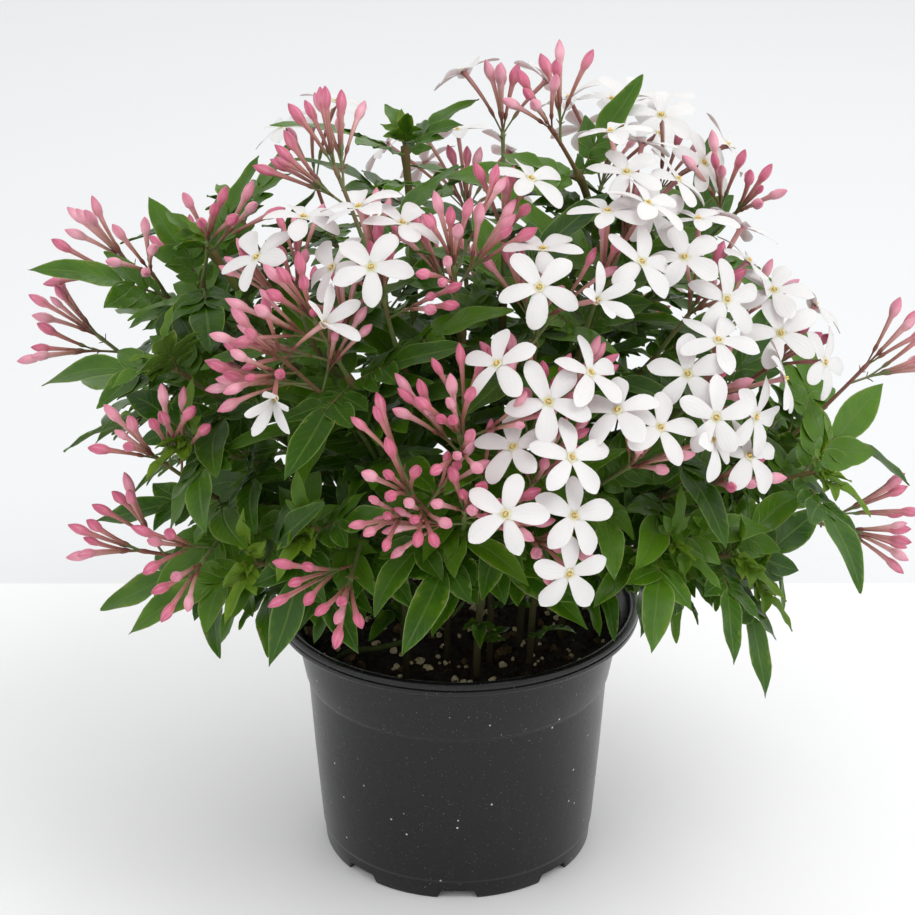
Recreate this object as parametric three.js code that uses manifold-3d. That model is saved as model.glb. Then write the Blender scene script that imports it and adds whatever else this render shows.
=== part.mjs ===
// Pink jasmine (Jasminum polyanthum) growing in a six-inch nursery pot.
// Millimetres, +Z up. The origin is on the pot's axis at the floor; -Y is the plant's front.
// Pieces: the pot, its soil, the rooted vines with their compound leaves, and the flower sprays.

import * as THREE from 'three';
import { mergeVertices } from 'three/addons/utils/BufferGeometryUtils.js';
import Module from 'manifold-3d';

const wasm = await Module();
wasm.setup();

// ---------------------------------------------------------------- driving dimensions

const POT_HEIGHT = 112;
const RIM_RADIUS = 76;
const FOOT_RADIUS = 57;
const COLLAR_FOOT = 80; // height at which the wall flares into the collar
const COLLAR_RADIUS = 63.2; // at its foot
const LIP_FOOT = 106; // height of the lip's underside
const LIP_ROOT_RADIUS = 68.5; // of the collar, where the lip stands out from it
const WALL = 1.6;
const FLOOR_LIFT = 2;
const FLOOR_TOP = 3.5;
const CENTRE_PAD_RADIUS = 22;
const FOOT_RING_INNER = 49;
const NOTCHES = 8;
const NOTCH_WIDTH = 17;
const NOTCH_HEIGHT = 3.9;
const NOTCH_SLOPE = 1.5; // narrower by this at the top, on each side
const NOTCH_FROM = 46.5; // from the pot's axis, through the foot ring
const NOTCH_DEPTH = 14;
const POT_SIDES = 24;

const SOIL_LEVEL = 98;
const SOIL_SIDES = 18;
const SOIL_RINGS = [0.98, 0.5]; // of the soil's radius
const SOIL_WAVES = 2; // at most, above its level
const CLEARANCE = 0.35; // between pieces that touch
const SEAM_TOLERANCE = 0.02;

// The crown is laid out on an ellipsoid: azimuth 0 is the front, 90 the right-hand side.
const CROWN_WIDTH = 165;
const CROWN_DEPTH = 150;
const CROWN_HEIGHT = 170;
const CROWN_CENTRE = 165;

const MAIN_STEM_RADIUS = 2.0;
const BRANCH_RADIUS = 1.15;
const RACHIS_RADIUS = 0.9;
const RACHIS_LENGTH = 16;
const RACHIS_PITCH = 6; // longer by this for each cyme
const CYME_STALK = 9;
const CYME_RADIUS = 0.56;
const STEM_DEPTH = 10; // how far a stem stands in the soil
const STEM_HOLE_RADIUS = 5.6; // room in the soil for a stem that leans

const BUD_REACH = 31; // cyme to bud tip
const BUD_HEAD = 11.5;
const BUD_NECK_RADIUS = 0.75;
const BUD_HEAD_RADIUS = 2.8;

const PETAL_REACH = 15; // flower centre to petal tip
const PETAL_HALF_WIDTH = 3.9;
const NOTCH_REACH = 2.8; // flower centre to the gap between two petals
const PETALS = 5;
const THROAT_RADIUS = 1.35;
const THROAT_DEPTH = 1.3;
const SHORTEST_TUBE = 24;

const LEAF_PITCH = 24; // between leaf pairs along a branch
const LEAF_PAIRS = 2; // at most, on each branch
const TIP_TO_LEAVES = 5; // from a branch's end to its first pair
const BARE_STEM = 22; // above the soil, below the lowest leaves
const PETIOLE = 14;
const END_PETIOLE = 4; // from the side leaflets to the end leaflet
const SIDE_LEAFLET = 18;
const END_LEAFLET = 33;
const END_LEAFLET_HALF_WIDTH = 6.6;
const LEAF_SIZES = [0.84, 1.18];
const LEAF_SEED = 161;
const LEAF_HALF_THICKNESS = 0.5;
const LEAF_DROOP = 0.004; // per millimetre of reach, squared

// ---------------------------------------------------------------- layout of the plant

// Places on the crown are [azimuth, elevation, reach]; reach 1 is the flower layer.
// Each spray points from one place to another, where its bud tips lie. Its cymes are counted
// from the tip down, and each bloom is a place, with the angle of its petals if half open.
const SPRAYS = [
  { from: [-95, 33, 0.9], to: [-94, 36, 1.14], cymes: [4, 3], blooms: [] },
  { from: [-91, 22, 0.9], to: [-90, 26, 1.12], cymes: [4, 3], blooms: [] },
  { from: [-98, 30, 0.8], to: [-68, 41, 1.05], cymes: [5], blooms: [] },
  { from: [-82, 40, 0.8], to: [-55, 51, 1.05], cymes: [4, 3], blooms: [] },
  { from: [-55, 14, 0.8], to: [-51, 21, 1.06], cymes: [4, 3, 3], blooms: [] },
  { from: [-54, 0, 0.8], to: [-54, 6, 1.08], cymes: [4, 3], blooms: [] },
  { from: [-44, 5, 0.8], to: [-38, 2, 1.05], cymes: [4, 3], blooms: [] },
  { from: [-18, 6, 0.75], to: [-15, 3, 1.0], cymes: [4, 4], blooms: [] },
  { from: [-40, 64, 0.75], to: [-62, 69, 1.08], cymes: [4, 4, 4], blooms: [] },
  { from: [-30, 35, 0.8], to: [-35, 38, 1.07], cymes: [4, 3, 3],
    blooms: [[-22, 40, 1.0, 50], [-27, 30, 1.0, 55]] },
  { from: [-26, 40, 0.8], to: [-30, 45, 1.08], cymes: [4, 3], blooms: [] },
  { from: [1, 26, 0.8], to: [-1, 32, 1.05], cymes: [4, 3, 3], blooms: [] },
  { from: [-6, 18, 0.8], to: [-9, 23, 1.05], cymes: [4, 3], blooms: [] },
  { from: [1, 16, 0.8], to: [1, 21, 1.05], cymes: [4, 3], blooms: [] },
  { from: [0, 52, 0.8], to: [-2, 55, 1.07], cymes: [4, 4], blooms: [] },
  { from: [16, 60, 0.75], to: [12, 62, 1.03], cymes: [3], blooms: [[20, 62, 1]] },
  { from: [100, 66, 0.78], to: [35, 76, 1.07], cymes: [4, 4], blooms: [] },
  { from: [104, 42, 0.82], to: [82, 47, 1.08], cymes: [4, 4], blooms: [] },
  { from: [86, 15, 0.95], to: [88, 22, 1.2], cymes: [3, 3], blooms: [] },
  { from: [79, -2, 0.85], to: [78, -4, 1.14], cymes: [3, 3], blooms: [] },
  { from: [20, 44, 0.7], to: [17, 49, 1], cymes: [], blooms: [[18, 53, 1], [14, 45, 1.02], [24, 43, 1, 45]] },
  { from: [36, 46, 0.7], to: [35, 52, 1], cymes: [], blooms: [[35, 55, 1], [36, 47, 1]] },
  { from: [58, 54, 0.7], to: [55, 59, 1], cymes: [], blooms: [[49, 60, 1], [63, 56, 1]] },
  { from: [142, 44, 0.75], to: [140, 50, 1.02], cymes: [],
    blooms: [[139, 55, 1.02], [152, 46, 1], [130, 49, 1]] },
  { from: [110, 50, 0.75], to: [107, 56, 1.03], cymes: [], blooms: [[104, 50, 1.04], [112, 60, 1.04]] },
  { from: [56, 38, 0.7], to: [55, 43, 1.02], cymes: [3], blooms: [[57, 50, 1], [62, 42, 1], [50, 39, 1]] },
  { from: [74, 24, 0.75], to: [70, 29, 1.03], cymes: [4], blooms: [[59, 32, 1], [69, 25, 1]] },
  { from: [47, 25, 0.7], to: [44, 31, 1.02], cymes: [3],
    blooms: [[53, 27, 1], [46, 24, 1], [43, 34, 1], [36, 32, 1]] },
  { from: [30, 19, 0.7], to: [29, 24, 1.02], cymes: [4], blooms: [[29, 26, 1], [37, 23, 1], [23, 29, 1]] },
  { from: [46, 14, 0.75], to: [44, 18, 1.02], cymes: [3], blooms: [[45, 20, 1]] },
  { from: [14, 28, 0.7], to: [15, 34, 1.02], cymes: [4], blooms: [[6, 36, 1], [13, 31, 1], [20, 34, 1]] },
  { from: [12, 19, 0.75], to: [12, 24, 1.02], cymes: [], blooms: [[15, 24, 1.02], [8, 26, 0.95]] },
  { from: [12, 12, 0.7], to: [14, 12, 0.98], cymes: [4], blooms: [[7, 17, 1], [15, 17, 1], [14, 10, 1]] },
  { from: [-38, 44, 0.75], to: [-37, 50, 1.02], cymes: [], blooms: [[-35, 54, 1], [-40, 47, 1]] },
  { from: [-16, 46, 0.72], to: [-18, 52, 1.02], cymes: [4],
    blooms: [[-22, 56, 1.02], [-12, 55, 1], [-25, 48, 1], [-15, 47, 1.04]] },
  { from: [178, 34, 0.75], to: [178, 38, 1.02], cymes: [3],
    blooms: [[-174, 35, 1], [180, 43, 1], [170, 38, 1], [-166, 40, 1]] },
  { from: [120, 16, 0.8], to: [121, 21, 1.05], cymes: [4, 3], blooms: [] },
  { from: [148, 8, 0.8], to: [148, 13, 1.02], cymes: [3], blooms: [[143, 14, 1]] },
  { from: [176, 14, 0.8], to: [177, 19, 1.04], cymes: [4, 3], blooms: [] },
  { from: [-152, 10, 0.8], to: [-152, 15, 1.02], cymes: [3], blooms: [[-147, 16, 1]] },
  { from: [-125, 22, 0.8], to: [-125, 28, 1.05], cymes: [4, 3], blooms: [] },
  { from: [-145, 42, 0.78], to: [-143, 48, 1.04], cymes: [3], blooms: [[-138, 49, 1]] },
  { from: [160, 64, 0.78], to: [165, 68, 1.03], cymes: [4], blooms: [[178, 66, 1]] },
];

// Leafy shoots that carry no flowers, by the place of the last leaf pair.
const SHOOTS = [
  [-74, 47, 0.88], [-60, 30, 0.88], [-50, 21, 0.84], [-36, 4, 0.78], [-26, 12, 0.76],
  [38, 7, 0.78], [50, 2, 0.82], [62, 12, 0.95], [60, -6, 0.8], [95, 4, 0.82], [140, 28, 0.84],
  [162, 0, 0.78], [-170, 0, 0.8], [-135, 2, 0.8], [-110, 6, 0.84], [-112, 46, 0.84],
  [-143, 75, 0.82],
];

// Azimuths at which the vines stand in the soil, denser at the front, where the sprays crowd.
const VINES = [-100, -72, -48, -28, -8, 10, 26, 42, 58, 80, 105, 135, 165, -165, -135];
const VINE_CIRCLES = [30, 44]; // radii on which the vines stand by turns

// ---------------------------------------------------------------- small helpers

const UP = new THREE.Vector3(0, 0, 1);

function vector(x, y, z) {
  return new THREE.Vector3(x, y, z);
}

// from + direction * distance
function along(from, direction, distance) {
  return from.clone().addScaledVector(direction, distance);
}

function radians(degrees) {
  return THREE.MathUtils.degToRad(degrees);
}

// Place on the crown's ellipsoid.
function crown([azimuth, elevation, reach]) {
  const a = radians(azimuth);
  const e = radians(elevation);
  return vector(
    CROWN_WIDTH * reach * Math.sin(a) * Math.cos(e),
    -CROWN_DEPTH * reach * Math.cos(a) * Math.cos(e),
    CROWN_CENTRE + CROWN_HEIGHT * reach * Math.sin(e),
  );
}

// Two directions square to an axis, the first one level.
function across(axis) {
  const level = Math.abs(axis.z) > 0.98 ? vector(1, 0, 0) : vector(axis.y, -axis.x, 0).normalize();
  const first = along(level, axis, -level.dot(axis)).normalize();
  return [first, axis.clone().cross(first)];
}

// Direction leaning away from an axis by a tilt, towards a turn from a first direction round it.
function leaningFrom(axis, first, tilt, turn) {
  const second = axis.clone().cross(first);
  const t = radians(turn);
  const side = first.clone().multiplyScalar(Math.cos(t)).addScaledVector(second, Math.sin(t));
  return axis.clone().multiplyScalar(Math.cos(radians(tilt))).addScaledVector(side, Math.sin(radians(tilt)));
}

function leaning(axis, tilt, turn) {
  return leaningFrom(axis, across(axis)[0], tilt, turn);
}

// Repeatable random numbers from 0 to 1, one stream for each growing piece.
function random(seed) {
  let state = (seed * 69069 + 362437) % 4294967296;
  return () => {
    state = (state * 1664525 + 1013904223) % 4294967296;
    return state / 4294967296;
  };
}

// A closed faceted body that is written point by point.
class Facets {
  constructor() {
    this.points = [];
    this.corners = [];
  }

  point(p) {
    this.points.push(p.x, p.y, p.z);
    return this.points.length / 3 - 1;
  }

  distance(a, b) {
    const p = this.points;
    return Math.hypot(p[3 * a] - p[3 * b], p[3 * a + 1] - p[3 * b + 1], p[3 * a + 2] - p[3 * b + 2]);
  }

  // Fan over a flat or gently curved outline, seen anticlockwise from outside.
  face(...ids) {
    for (let i = 2; i < ids.length; i += 1) this.corners.push(ids[0], ids[i - 1], ids[i]);
  }

  solid() {
    return new wasm.Manifold(new wasm.Mesh({
      numProp: 3,
      vertProperties: new Float32Array(this.points),
      triVerts: new Uint32Array(this.corners),
    }));
  }
}

// Joins two rings of any counts, both anticlockwise seen from the far one. Of all ways to pair
// their corners it takes the one with the shortest edges, so that the tube doesn't twist.
function bridge(facets, near, far) {
  let best = null;
  for (let shift = 0; shift < far.length; shift += 1) {
    const faces = [];
    let length = 0;
    let i = 0;
    let j = 0;
    while (i < near.length || j < far.length) {
      const here = near[i % near.length];
      const there = far[(j + shift) % far.length];
      length += facets.distance(here, there);
      if (i === near.length || (j < far.length && (j + 1) * near.length <= (i + 1) * far.length)) {
        faces.push([here, far[(j + 1 + shift) % far.length], there]);
        j += 1;
      } else {
        faces.push([here, near[(i + 1) % near.length], there]);
        i += 1;
      }
    }
    if (best === null || length < best.length - 1e-6) best = { faces, length };
  }
  for (const face of best.faces) facets.face(...face);
}

// Ring of points about a centre, square to an axis, at the given turns from a first direction.
function ringOf(facets, centre, axis, first, turns, radius) {
  const second = axis.clone().cross(first);
  return turns.map((turn) => {
    const t = radians(turn);
    return facets.point(along(along(centre, first, radius * Math.cos(t)), second, radius * Math.sin(t)));
  });
}

// A three.js geometry as a solid.
function solidOf(geometry) {
  const plain = geometry.clone();
  plain.deleteAttribute('normal');
  plain.deleteAttribute('uv');
  const merged = mergeVertices(plain, 1e-4);
  return new wasm.Manifold(new wasm.Mesh({
    numProp: 3,
    vertProperties: new Float32Array(merged.attributes.position.array),
    triVerts: new Uint32Array(merged.index.array),
  }));
}

function geometryOf(solid) {
  const mesh = solid.getMesh();
  const geometry = new THREE.BufferGeometry();
  const positions = new Float32Array(mesh.numVert * 3);
  for (let i = 0; i < mesh.numVert; i += 1) {
    for (let j = 0; j < 3; j += 1) positions[i * 3 + j] = mesh.vertProperties[i * mesh.numProp + j];
  }
  geometry.setAttribute('position', new THREE.BufferAttribute(positions, 3));
  geometry.setIndex(new THREE.BufferAttribute(new Uint32Array(mesh.triVerts), 1));
  return geometry;
}

// Slivers along the seams are taken out, so that no two corners lie closer than the tolerance.
function union(solids) {
  return wasm.Manifold.union(solids).simplify(SEAM_TOLERANCE);
}

// Regular outline for stems.
function polygon(sides, radius) {
  const shape = new THREE.Shape();
  for (let i = 0; i < sides; i += 1) {
    const t = (i / sides) * 2 * Math.PI;
    if (i === 0) shape.moveTo(radius, 0);
    else shape.lineTo(radius * Math.cos(t), radius * Math.sin(t));
  }
  return shape;
}

function tube(path, sides, radius, steps) {
  return solidOf(new THREE.ExtrudeGeometry(polygon(sides, radius), { steps, extrudePath: path }));
}

// ---------------------------------------------------------------- what already stands where

// Every grown piece is kept clear of the others. Inside a node only the outer parts keep apart,
// because the roots meet in what they grow from.
const grown = [];

function boxOf(solid) {
  const box = solid.boundingBox();
  return { min: box.min, max: box.max };
}

function farApart(a, b) {
  for (let i = 0; i < 3; i += 1) {
    if (a.min[i] - b.max[i] > CLEARANCE || b.min[i] - a.max[i] > CLEARANCE) return true;
  }
  return false;
}

function isClear(node, whole, outer) {
  const wholeBox = boxOf(whole);
  const outerBox = boxOf(outer);
  for (const other of grown) {
    const same = other.node === node;
    const mine = same ? outer : whole;
    const theirs = same ? other.outer : other.whole;
    if (farApart(same ? outerBox : wholeBox, same ? other.outerBox : other.wholeBox)) continue;
    if (mine.minGap(theirs, CLEARANCE * 2) < CLEARANCE) return false;
  }
  return true;
}

function keep(node, whole, outer) {
  grown.push({ node, whole, outer, wholeBox: boxOf(whole), outerBox: boxOf(outer) });
}

// The first of several tries that stands clear, or null. "form" gives a piece and its two solids.
function firstClear(node, tries, form) {
  for (const attempt of tries) {
    const [piece, whole, outer] = form(attempt);
    if (isClear(node, whole, outer)) {
      keep(node, whole, outer);
      return piece;
    }
  }
  return null;
}

// ---------------------------------------------------------------- pot and soil

// Radius and height of the pot's inside, from its floor up to the lip.
const POT_INSIDE = [
  [FOOT_RADIUS + 0.6 - WALL, FLOOR_TOP],
  [COLLAR_RADIUS - WALL, COLLAR_FOOT],
  [LIP_ROOT_RADIUS - WALL, LIP_FOOT - 1.5],
];

function potProfile() {
  return [
    [0, 0],
    [CENTRE_PAD_RADIUS, 0],
    [CENTRE_PAD_RADIUS + 2, FLOOR_LIFT],
    [FOOT_RING_INNER, FLOOR_LIFT],
    [FOOT_RING_INNER + 1, 0],
    [FOOT_RADIUS, 0],
    [COLLAR_RADIUS, COLLAR_FOOT],
    [LIP_ROOT_RADIUS, LIP_FOOT - 1.5],
    [RIM_RADIUS, LIP_FOOT],
    [RIM_RADIUS, POT_HEIGHT - 1],
    [RIM_RADIUS - 1, POT_HEIGHT],
    [RIM_RADIUS - 4, POT_HEIGHT - 0.8],
    ...POT_INSIDE.toReversed(),
    [0, FLOOR_TOP],
  ];
}

// LatheGeometry turns its profile about Y; the pot stands along Z.
function lathe(profile, sides) {
  const points = profile.map(([r, z]) => new THREE.Vector2(r, z));
  const geometry = new THREE.LatheGeometry(points, sides);
  geometry.rotateX(Math.PI / 2);
  return solidOf(geometry);
}

function pot() {
  const notch = new THREE.Shape([
    new THREE.Vector2(-NOTCH_WIDTH / 2, -1),
    new THREE.Vector2(NOTCH_WIDTH / 2, -1),
    new THREE.Vector2(NOTCH_WIDTH / 2 - NOTCH_SLOPE, NOTCH_HEIGHT),
    new THREE.Vector2(-NOTCH_WIDTH / 2 + NOTCH_SLOPE, NOTCH_HEIGHT),
  ]);
  let body = lathe(potProfile(), POT_SIDES);
  for (let i = 0; i < NOTCHES; i += 1) {
    const cut = new THREE.ExtrudeGeometry(notch, { depth: NOTCH_DEPTH, bevelEnabled: false });
    cut.rotateX(Math.PI / 2);
    cut.translate(0, -NOTCH_FROM, 0);
    cut.rotateZ((i / NOTCHES) * 2 * Math.PI);
    body = body.subtract(solidOf(cut));
  }
  return body;
}

// Radius of the pot's inside at a height, less the clearance.
function soilRadius(height) {
  const part = height < COLLAR_FOOT ? 0 : 1;
  const [[lowRadius, low], [highRadius, high]] = POT_INSIDE.slice(part, part + 2);
  const wall = lowRadius + ((highRadius - lowRadius) * (height - low)) / (high - low);
  // the faceted wall is nearer than its corners
  return wall * Math.cos(Math.PI / POT_SIDES) - CLEARANCE;
}

function soilHeight(x, y) {
  return SOIL_LEVEL + 1.2 * Math.sin(x * 0.09 + 1) * Math.cos(y * 0.11) - 0.8 * Math.sin((x - y) * 0.05);
}

function soil(holes) {
  const facets = new Facets();
  const bottom = FLOOR_TOP + CLEARANCE;
  const rings = [];
  const addRing = (radius, heightAt) => {
    const ring = [];
    for (let i = 0; i < SOIL_SIDES; i += 1) {
      const t = (i / SOIL_SIDES) * 2 * Math.PI;
      const x = radius * Math.cos(t);
      const y = radius * Math.sin(t);
      ring.push(facets.point(vector(x, y, heightAt(x, y))));
    }
    rings.push(ring);
  };
  addRing(soilRadius(bottom), () => bottom);
  addRing(soilRadius(COLLAR_FOOT), () => COLLAR_FOOT);
  for (const share of SOIL_RINGS) addRing(soilRadius(SOIL_LEVEL - 4) * share, soilHeight);
  const foot = facets.point(vector(0, 0, bottom));
  const top = facets.point(vector(0, 0, soilHeight(0, 0)));
  for (let i = 0; i < SOIL_SIDES; i += 1) {
    const j = (i + 1) % SOIL_SIDES;
    facets.face(foot, rings[0][j], rings[0][i]);
    for (let k = 0; k + 1 < rings.length; k += 1) {
      facets.face(rings[k][i], rings[k][j], rings[k + 1][j]);
      facets.face(rings[k][i], rings[k + 1][j], rings[k + 1][i]);
    }
    facets.face(rings[rings.length - 1][i], rings[rings.length - 1][j], top);
  }
  return facets.solid().subtract(union(holes));
}

// ---------------------------------------------------------------- leaves

// One compound leaf, grown onto a ring of points: a petiole, a pair of side leaflets and a long
// end leaflet, as one thin arched blade. A leaf inside the crown has its end leaflet alone.
function addLeaf(facets, rootRing, leaf, trim = 0) {
  const { root, direction, upper, size } = leaf;
  const side = upper.clone().cross(direction).normalize();
  const top = direction.clone().cross(side);
  const place = (forward, sideways, lift) => {
    const reach = Math.hypot(forward, sideways);
    return facets.point(root.clone()
      .addScaledVector(direction, forward * size)
      .addScaledVector(side, sideways * size)
      .addScaledVector(top, lift - LEAF_DROOP * reach * reach * size));
  };
  const ring = (forward) => [[0, -1], [1, 1], [-1, 1]]
    .map(([s, t]) => place(forward, s * LEAF_HALF_THICKNESS, t * LEAF_HALF_THICKNESS));

  const start = rootRing ?? ring(trim);
  if (!rootRing) facets.face(start[2], start[1], start[0]);
  const low = leaf.inner ? null : ring(PETIOLE);
  const high = ring(PETIOLE + END_PETIOLE);
  bridge(facets, start, low ?? high);
  if (low) {
    facets.face(low[1], low[2], high[2], high[1]);
    for (const hand of [1, -1]) {
      const corner = hand > 0 ? 1 : 2;
      const near = place(PETIOLE - 0.5, hand * SIDE_LEAFLET * 0.42, 0.6);
      const tip = place(PETIOLE + SIDE_LEAFLET * 0.62, hand * SIDE_LEAFLET * 0.92, 0.3);
      const far = place(PETIOLE + SIDE_LEAFLET * 0.5, hand * SIDE_LEAFLET * 0.26, 0.6);
      const faces = [
        [low[corner], tip, near], [low[corner], high[corner], tip], [high[corner], far, tip],
        [low[0], near, tip], [low[0], tip, high[0]], [high[0], tip, far],
        [low[corner], near, low[0]], [high[corner], high[0], far],
      ];
      for (const face of faces) facets.face(...(hand > 0 ? face : face.reverse()));
    }
  }
  const widest = PETIOLE + END_PETIOLE + END_LEAFLET * 0.42;
  const left = place(widest, END_LEAFLET_HALF_WIDTH, 0.8);
  const right = place(widest, -END_LEAFLET_HALF_WIDTH, 0.8);
  const tip = place(PETIOLE + END_PETIOLE + END_LEAFLET, 0, 0);
  const midTop = place(widest + 3, 0, LEAF_HALF_THICKNESS * 0.8);
  facets.face(midTop, high[1], high[2]);
  facets.face(midTop, high[2], right);
  facets.face(midTop, right, tip);
  facets.face(midTop, tip, left);
  facets.face(midTop, left, high[1]);
  facets.face(tip, right, high[0]);
  facets.face(tip, high[0], left);
  facets.face(high[1], left, high[0]);
  facets.face(high[2], high[0], right);
}

function leafSolid(leaf, trim) {
  const facets = new Facets();
  addLeaf(facets, null, leaf, trim);
  return facets.solid();
}

// ---------------------------------------------------------------- buds and blooms

// Slender tube, swelling to a pointed head, grown onto a ring.
function addBud(facets, root, bud) {
  const neckAt = along(bud.root, bud.direction, bud.reach - BUD_HEAD);
  const headAt = along(bud.root, bud.direction, bud.reach - BUD_HEAD * 0.48);
  const neck = ringOf(facets, neckAt, bud.direction, bud.level, [210, 330, 90], BUD_NECK_RADIUS);
  const head = ringOf(facets, headAt, bud.direction, bud.level, [225, 315, 45, 135], BUD_HEAD_RADIUS);
  const tip = facets.point(along(bud.root, bud.direction, bud.reach));
  bridge(facets, root, neck);
  bridge(facets, neck, head);
  for (let i = 0; i < 4; i += 1) facets.face(head[i], head[(i + 1) % 4], tip);
}

// Thin tube that opens into a flat star of petals, grown onto a ring; "cup" folds the petals.
function addBloom(facets, root, bloom) {
  const { direction, level, spin } = bloom;
  const centre = along(bloom.root, direction, bloom.reach);
  const second = direction.clone().cross(level);
  const cup = radians(bloom.cup);
  const halfWidth = PETAL_HALF_WIDTH * (1 - bloom.cup / 150);
  const petalTurns = [];
  for (let i = 0; i < PETALS; i += 1) petalTurns.push(spin + (i * 360) / PETALS);
  const outline = (turn, reach, width) => {
    const t = radians(turn);
    const outward = level.clone().multiplyScalar(Math.cos(t)).addScaledVector(second, Math.sin(t));
    return facets.point(centre.clone()
      .addScaledVector(outward, reach * Math.cos(cup))
      .addScaledVector(direction, reach * Math.sin(cup))
      .addScaledVector(direction.clone().cross(outward), width));
  };
  const throatAt = along(centre, direction, -THROAT_DEPTH);
  const gaps = petalTurns.map((turn) => turn - 180 / PETALS);
  const throat = ringOf(facets, throatAt, direction, level, gaps, THROAT_RADIUS);
  const notches = gaps.map((turn) => outline(turn, NOTCH_REACH, 0));
  const middle = facets.point(along(centre, direction, 0.5));
  bridge(facets, root, throat);
  for (let i = 0; i < PETALS; i += 1) {
    const j = (i + 1) % PETALS;
    const right = outline(petalTurns[i], PETAL_REACH * 0.62, -halfWidth);
    const tip = outline(petalTurns[i], PETAL_REACH, 0);
    const left = outline(petalTurns[i], PETAL_REACH * 0.62, halfWidth);
    facets.face(middle, notches[i], right);
    facets.face(middle, right, tip);
    facets.face(middle, tip, left);
    facets.face(middle, left, notches[j]);
    facets.face(throat[i], throat[j], tip);
    facets.face(throat[j], notches[j], left);
    facets.face(throat[j], left, tip);
    facets.face(throat[i], tip, right);
    facets.face(throat[i], right, notches[i]);
  }
}

// A bud or bloom alone, from "trim" along its tube.
function flowerSolid(flower, trim) {
  const facets = new Facets();
  const at = along(flower.root, flower.direction, trim);
  const foot = ringOf(facets, at, flower.direction, flower.level, [210, 330, 90], BUD_NECK_RADIUS);
  facets.face(foot[2], foot[1], foot[0]);
  flower.add(facets, foot, flower);
  return facets.solid();
}

// Corners of a stalk's end, so that each flower has a face of its own between two of them.
function cornersOf(flowers) {
  const corners = [];
  flowers.forEach((flower, i) => {
    const next = flowers[(i + 1) % flowers.length];
    const gap = (next.turn - flower.turn + 360) % 360 || 360;
    if (gap <= 130) {
      corners.push({ turn: flower.turn + gap / 2, flower: next });
      return;
    }
    corners.push({ turn: flower.turn + 60, flower: null });
    if (gap > 240) corners.push({ turn: flower.turn + gap / 2, flower: null });
    corners.push({ turn: flower.turn + gap - 60, flower: next });
  });
  return corners.length ? corners : [0, 120, 240].map((turn) => ({ turn, flower: null }));
}

// A stalk with its flowers round the end.
function stalkSolid(stalk, flowers) {
  const facets = new Facets();
  const { root, axis, length, radius } = stalk;
  const [first] = across(axis);
  const corners = cornersOf(flowers.slice().sort((a, b) => a.turn - b.turn));
  const turns = corners.map((corner) => corner.turn);
  const end = along(root, axis, length);
  const low = ringOf(facets, root, axis, first, turns, radius);
  const high = ringOf(facets, end, axis, first, turns, radius + STALK_FLARE);
  const top = facets.point(along(end, axis, STALK_TIP));
  facets.face(...low.slice().reverse());
  bridge(facets, low, high);
  corners.forEach(({ flower }, i) => {
    const face = [high[i], high[(i + 1) % high.length], top];
    if (flower) flower.add(facets, face, flower);
    else facets.face(...face);
  });
  return facets.solid();
}

// ---------------------------------------------------------------- sprays

// What a bud, bloom or leaf tries in turn until it stands clear of what has grown before.
const BUD_TRIES = [
  [0, 0, 0], [5, 0, 0], [0, 18, 0], [0, -18, 0], [10, 0, 2], [-6, 0, -2], [8, 24, -3], [8, -24, -3],
];
const BLOOM_LIFTS = [0, 3, -3, 6, -6, 9, -9, 12, 15];
const BLOOM_SPINS = [0, 24, 48];
const ROOT_SHARE = 0.25; // of a flower's reach, within which it may lie close to its neighbours
const LEAST_TURN = 22; // between two flowers round one stalk
const CYME_TILT = 36;
const BUD_TILT = 19;
const GOLDEN_ANGLE = 137.5; // between one side cyme and the next
const CYME_SPREAD = 0.7; // of the rachis, along which its side cymes stand
const ROOT_TRIM = 1.5; // of a flower or leaf, left out where it stands in its stem
const LEAF_ROOT = 6; // of a petiole, within which it may lie close to its neighbours
const STALK_FLARE = 0.3;
const STALK_TIP = 1.3;

function rachisOf(plan) {
  const tips = crown(plan.to);
  const axis = tips.clone().sub(crown(plan.from)).normalize();
  const length = RACHIS_LENGTH + RACHIS_PITCH * plan.cymes.length;
  const root = along(tips, axis, -(BUD_REACH + length));
  return { root, axis, length, radius: RACHIS_RADIUS };
}

// The stalks of a spray: its rachis, then the side cymes from the top down. Each has three
// chances for each of its buds.
function stalksOf(plan, draw) {
  const rachis = rachisOf(plan);
  return plan.cymes.map((count, i) => {
    const turn = draw() * 360;
    const buds = Array.from({ length: count }, () => [draw(), draw(), draw()]);
    if (i === 0) return { ...rachis, buds, turn };
    const axis = leaning(rachis.axis, CYME_TILT, turn + i * GOLDEN_ANGLE);
    const share = 1 - (CYME_SPREAD * i) / plan.cymes.length;
    const root = along(rachis.root, rachis.axis, rachis.length * share);
    return { root, axis, length: CYME_STALK, radius: CYME_RADIUS, buds, turn };
  });
}

// The room that a stalk takes up, from a share of its length on.
function stalkRoom({ root, axis, length, radius }, from = 0) {
  const path = new THREE.LineCurve3(along(root, axis, length * from), along(root, axis, length + STALK_TIP));
  return tube(path, 4, radius + STALK_FLARE, 1);
}

function budOn(stalk, i, [moreTilt, moreTurn, moreReach]) {
  const draws = stalk.buds[i];
  const even = stalk.turn + ((i + 0.5) * 360) / stalk.buds.length;
  const turn = (even + (draws[0] - 0.5) * 16 + moreTurn + 720) % 360;
  const direction = leaning(stalk.axis, BUD_TILT + (draws[1] - 0.5) * 10 + moreTilt, turn);
  const level = stalk.axis.clone().cross(direction).normalize();
  const root = along(stalk.root, stalk.axis, stalk.length);
  return { add: addBud, root, direction, level, turn, reach: BUD_REACH + (draws[2] - 0.5) * 5 + moreReach };
}

// Turns round a stalk may not come too close, or the tubes would cross at their roots.
function hasRoom(flowers, turn) {
  return flowers.every((other) => Math.abs(((other.turn - turn + 540) % 360) - 180) >= LEAST_TURN);
}

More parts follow.
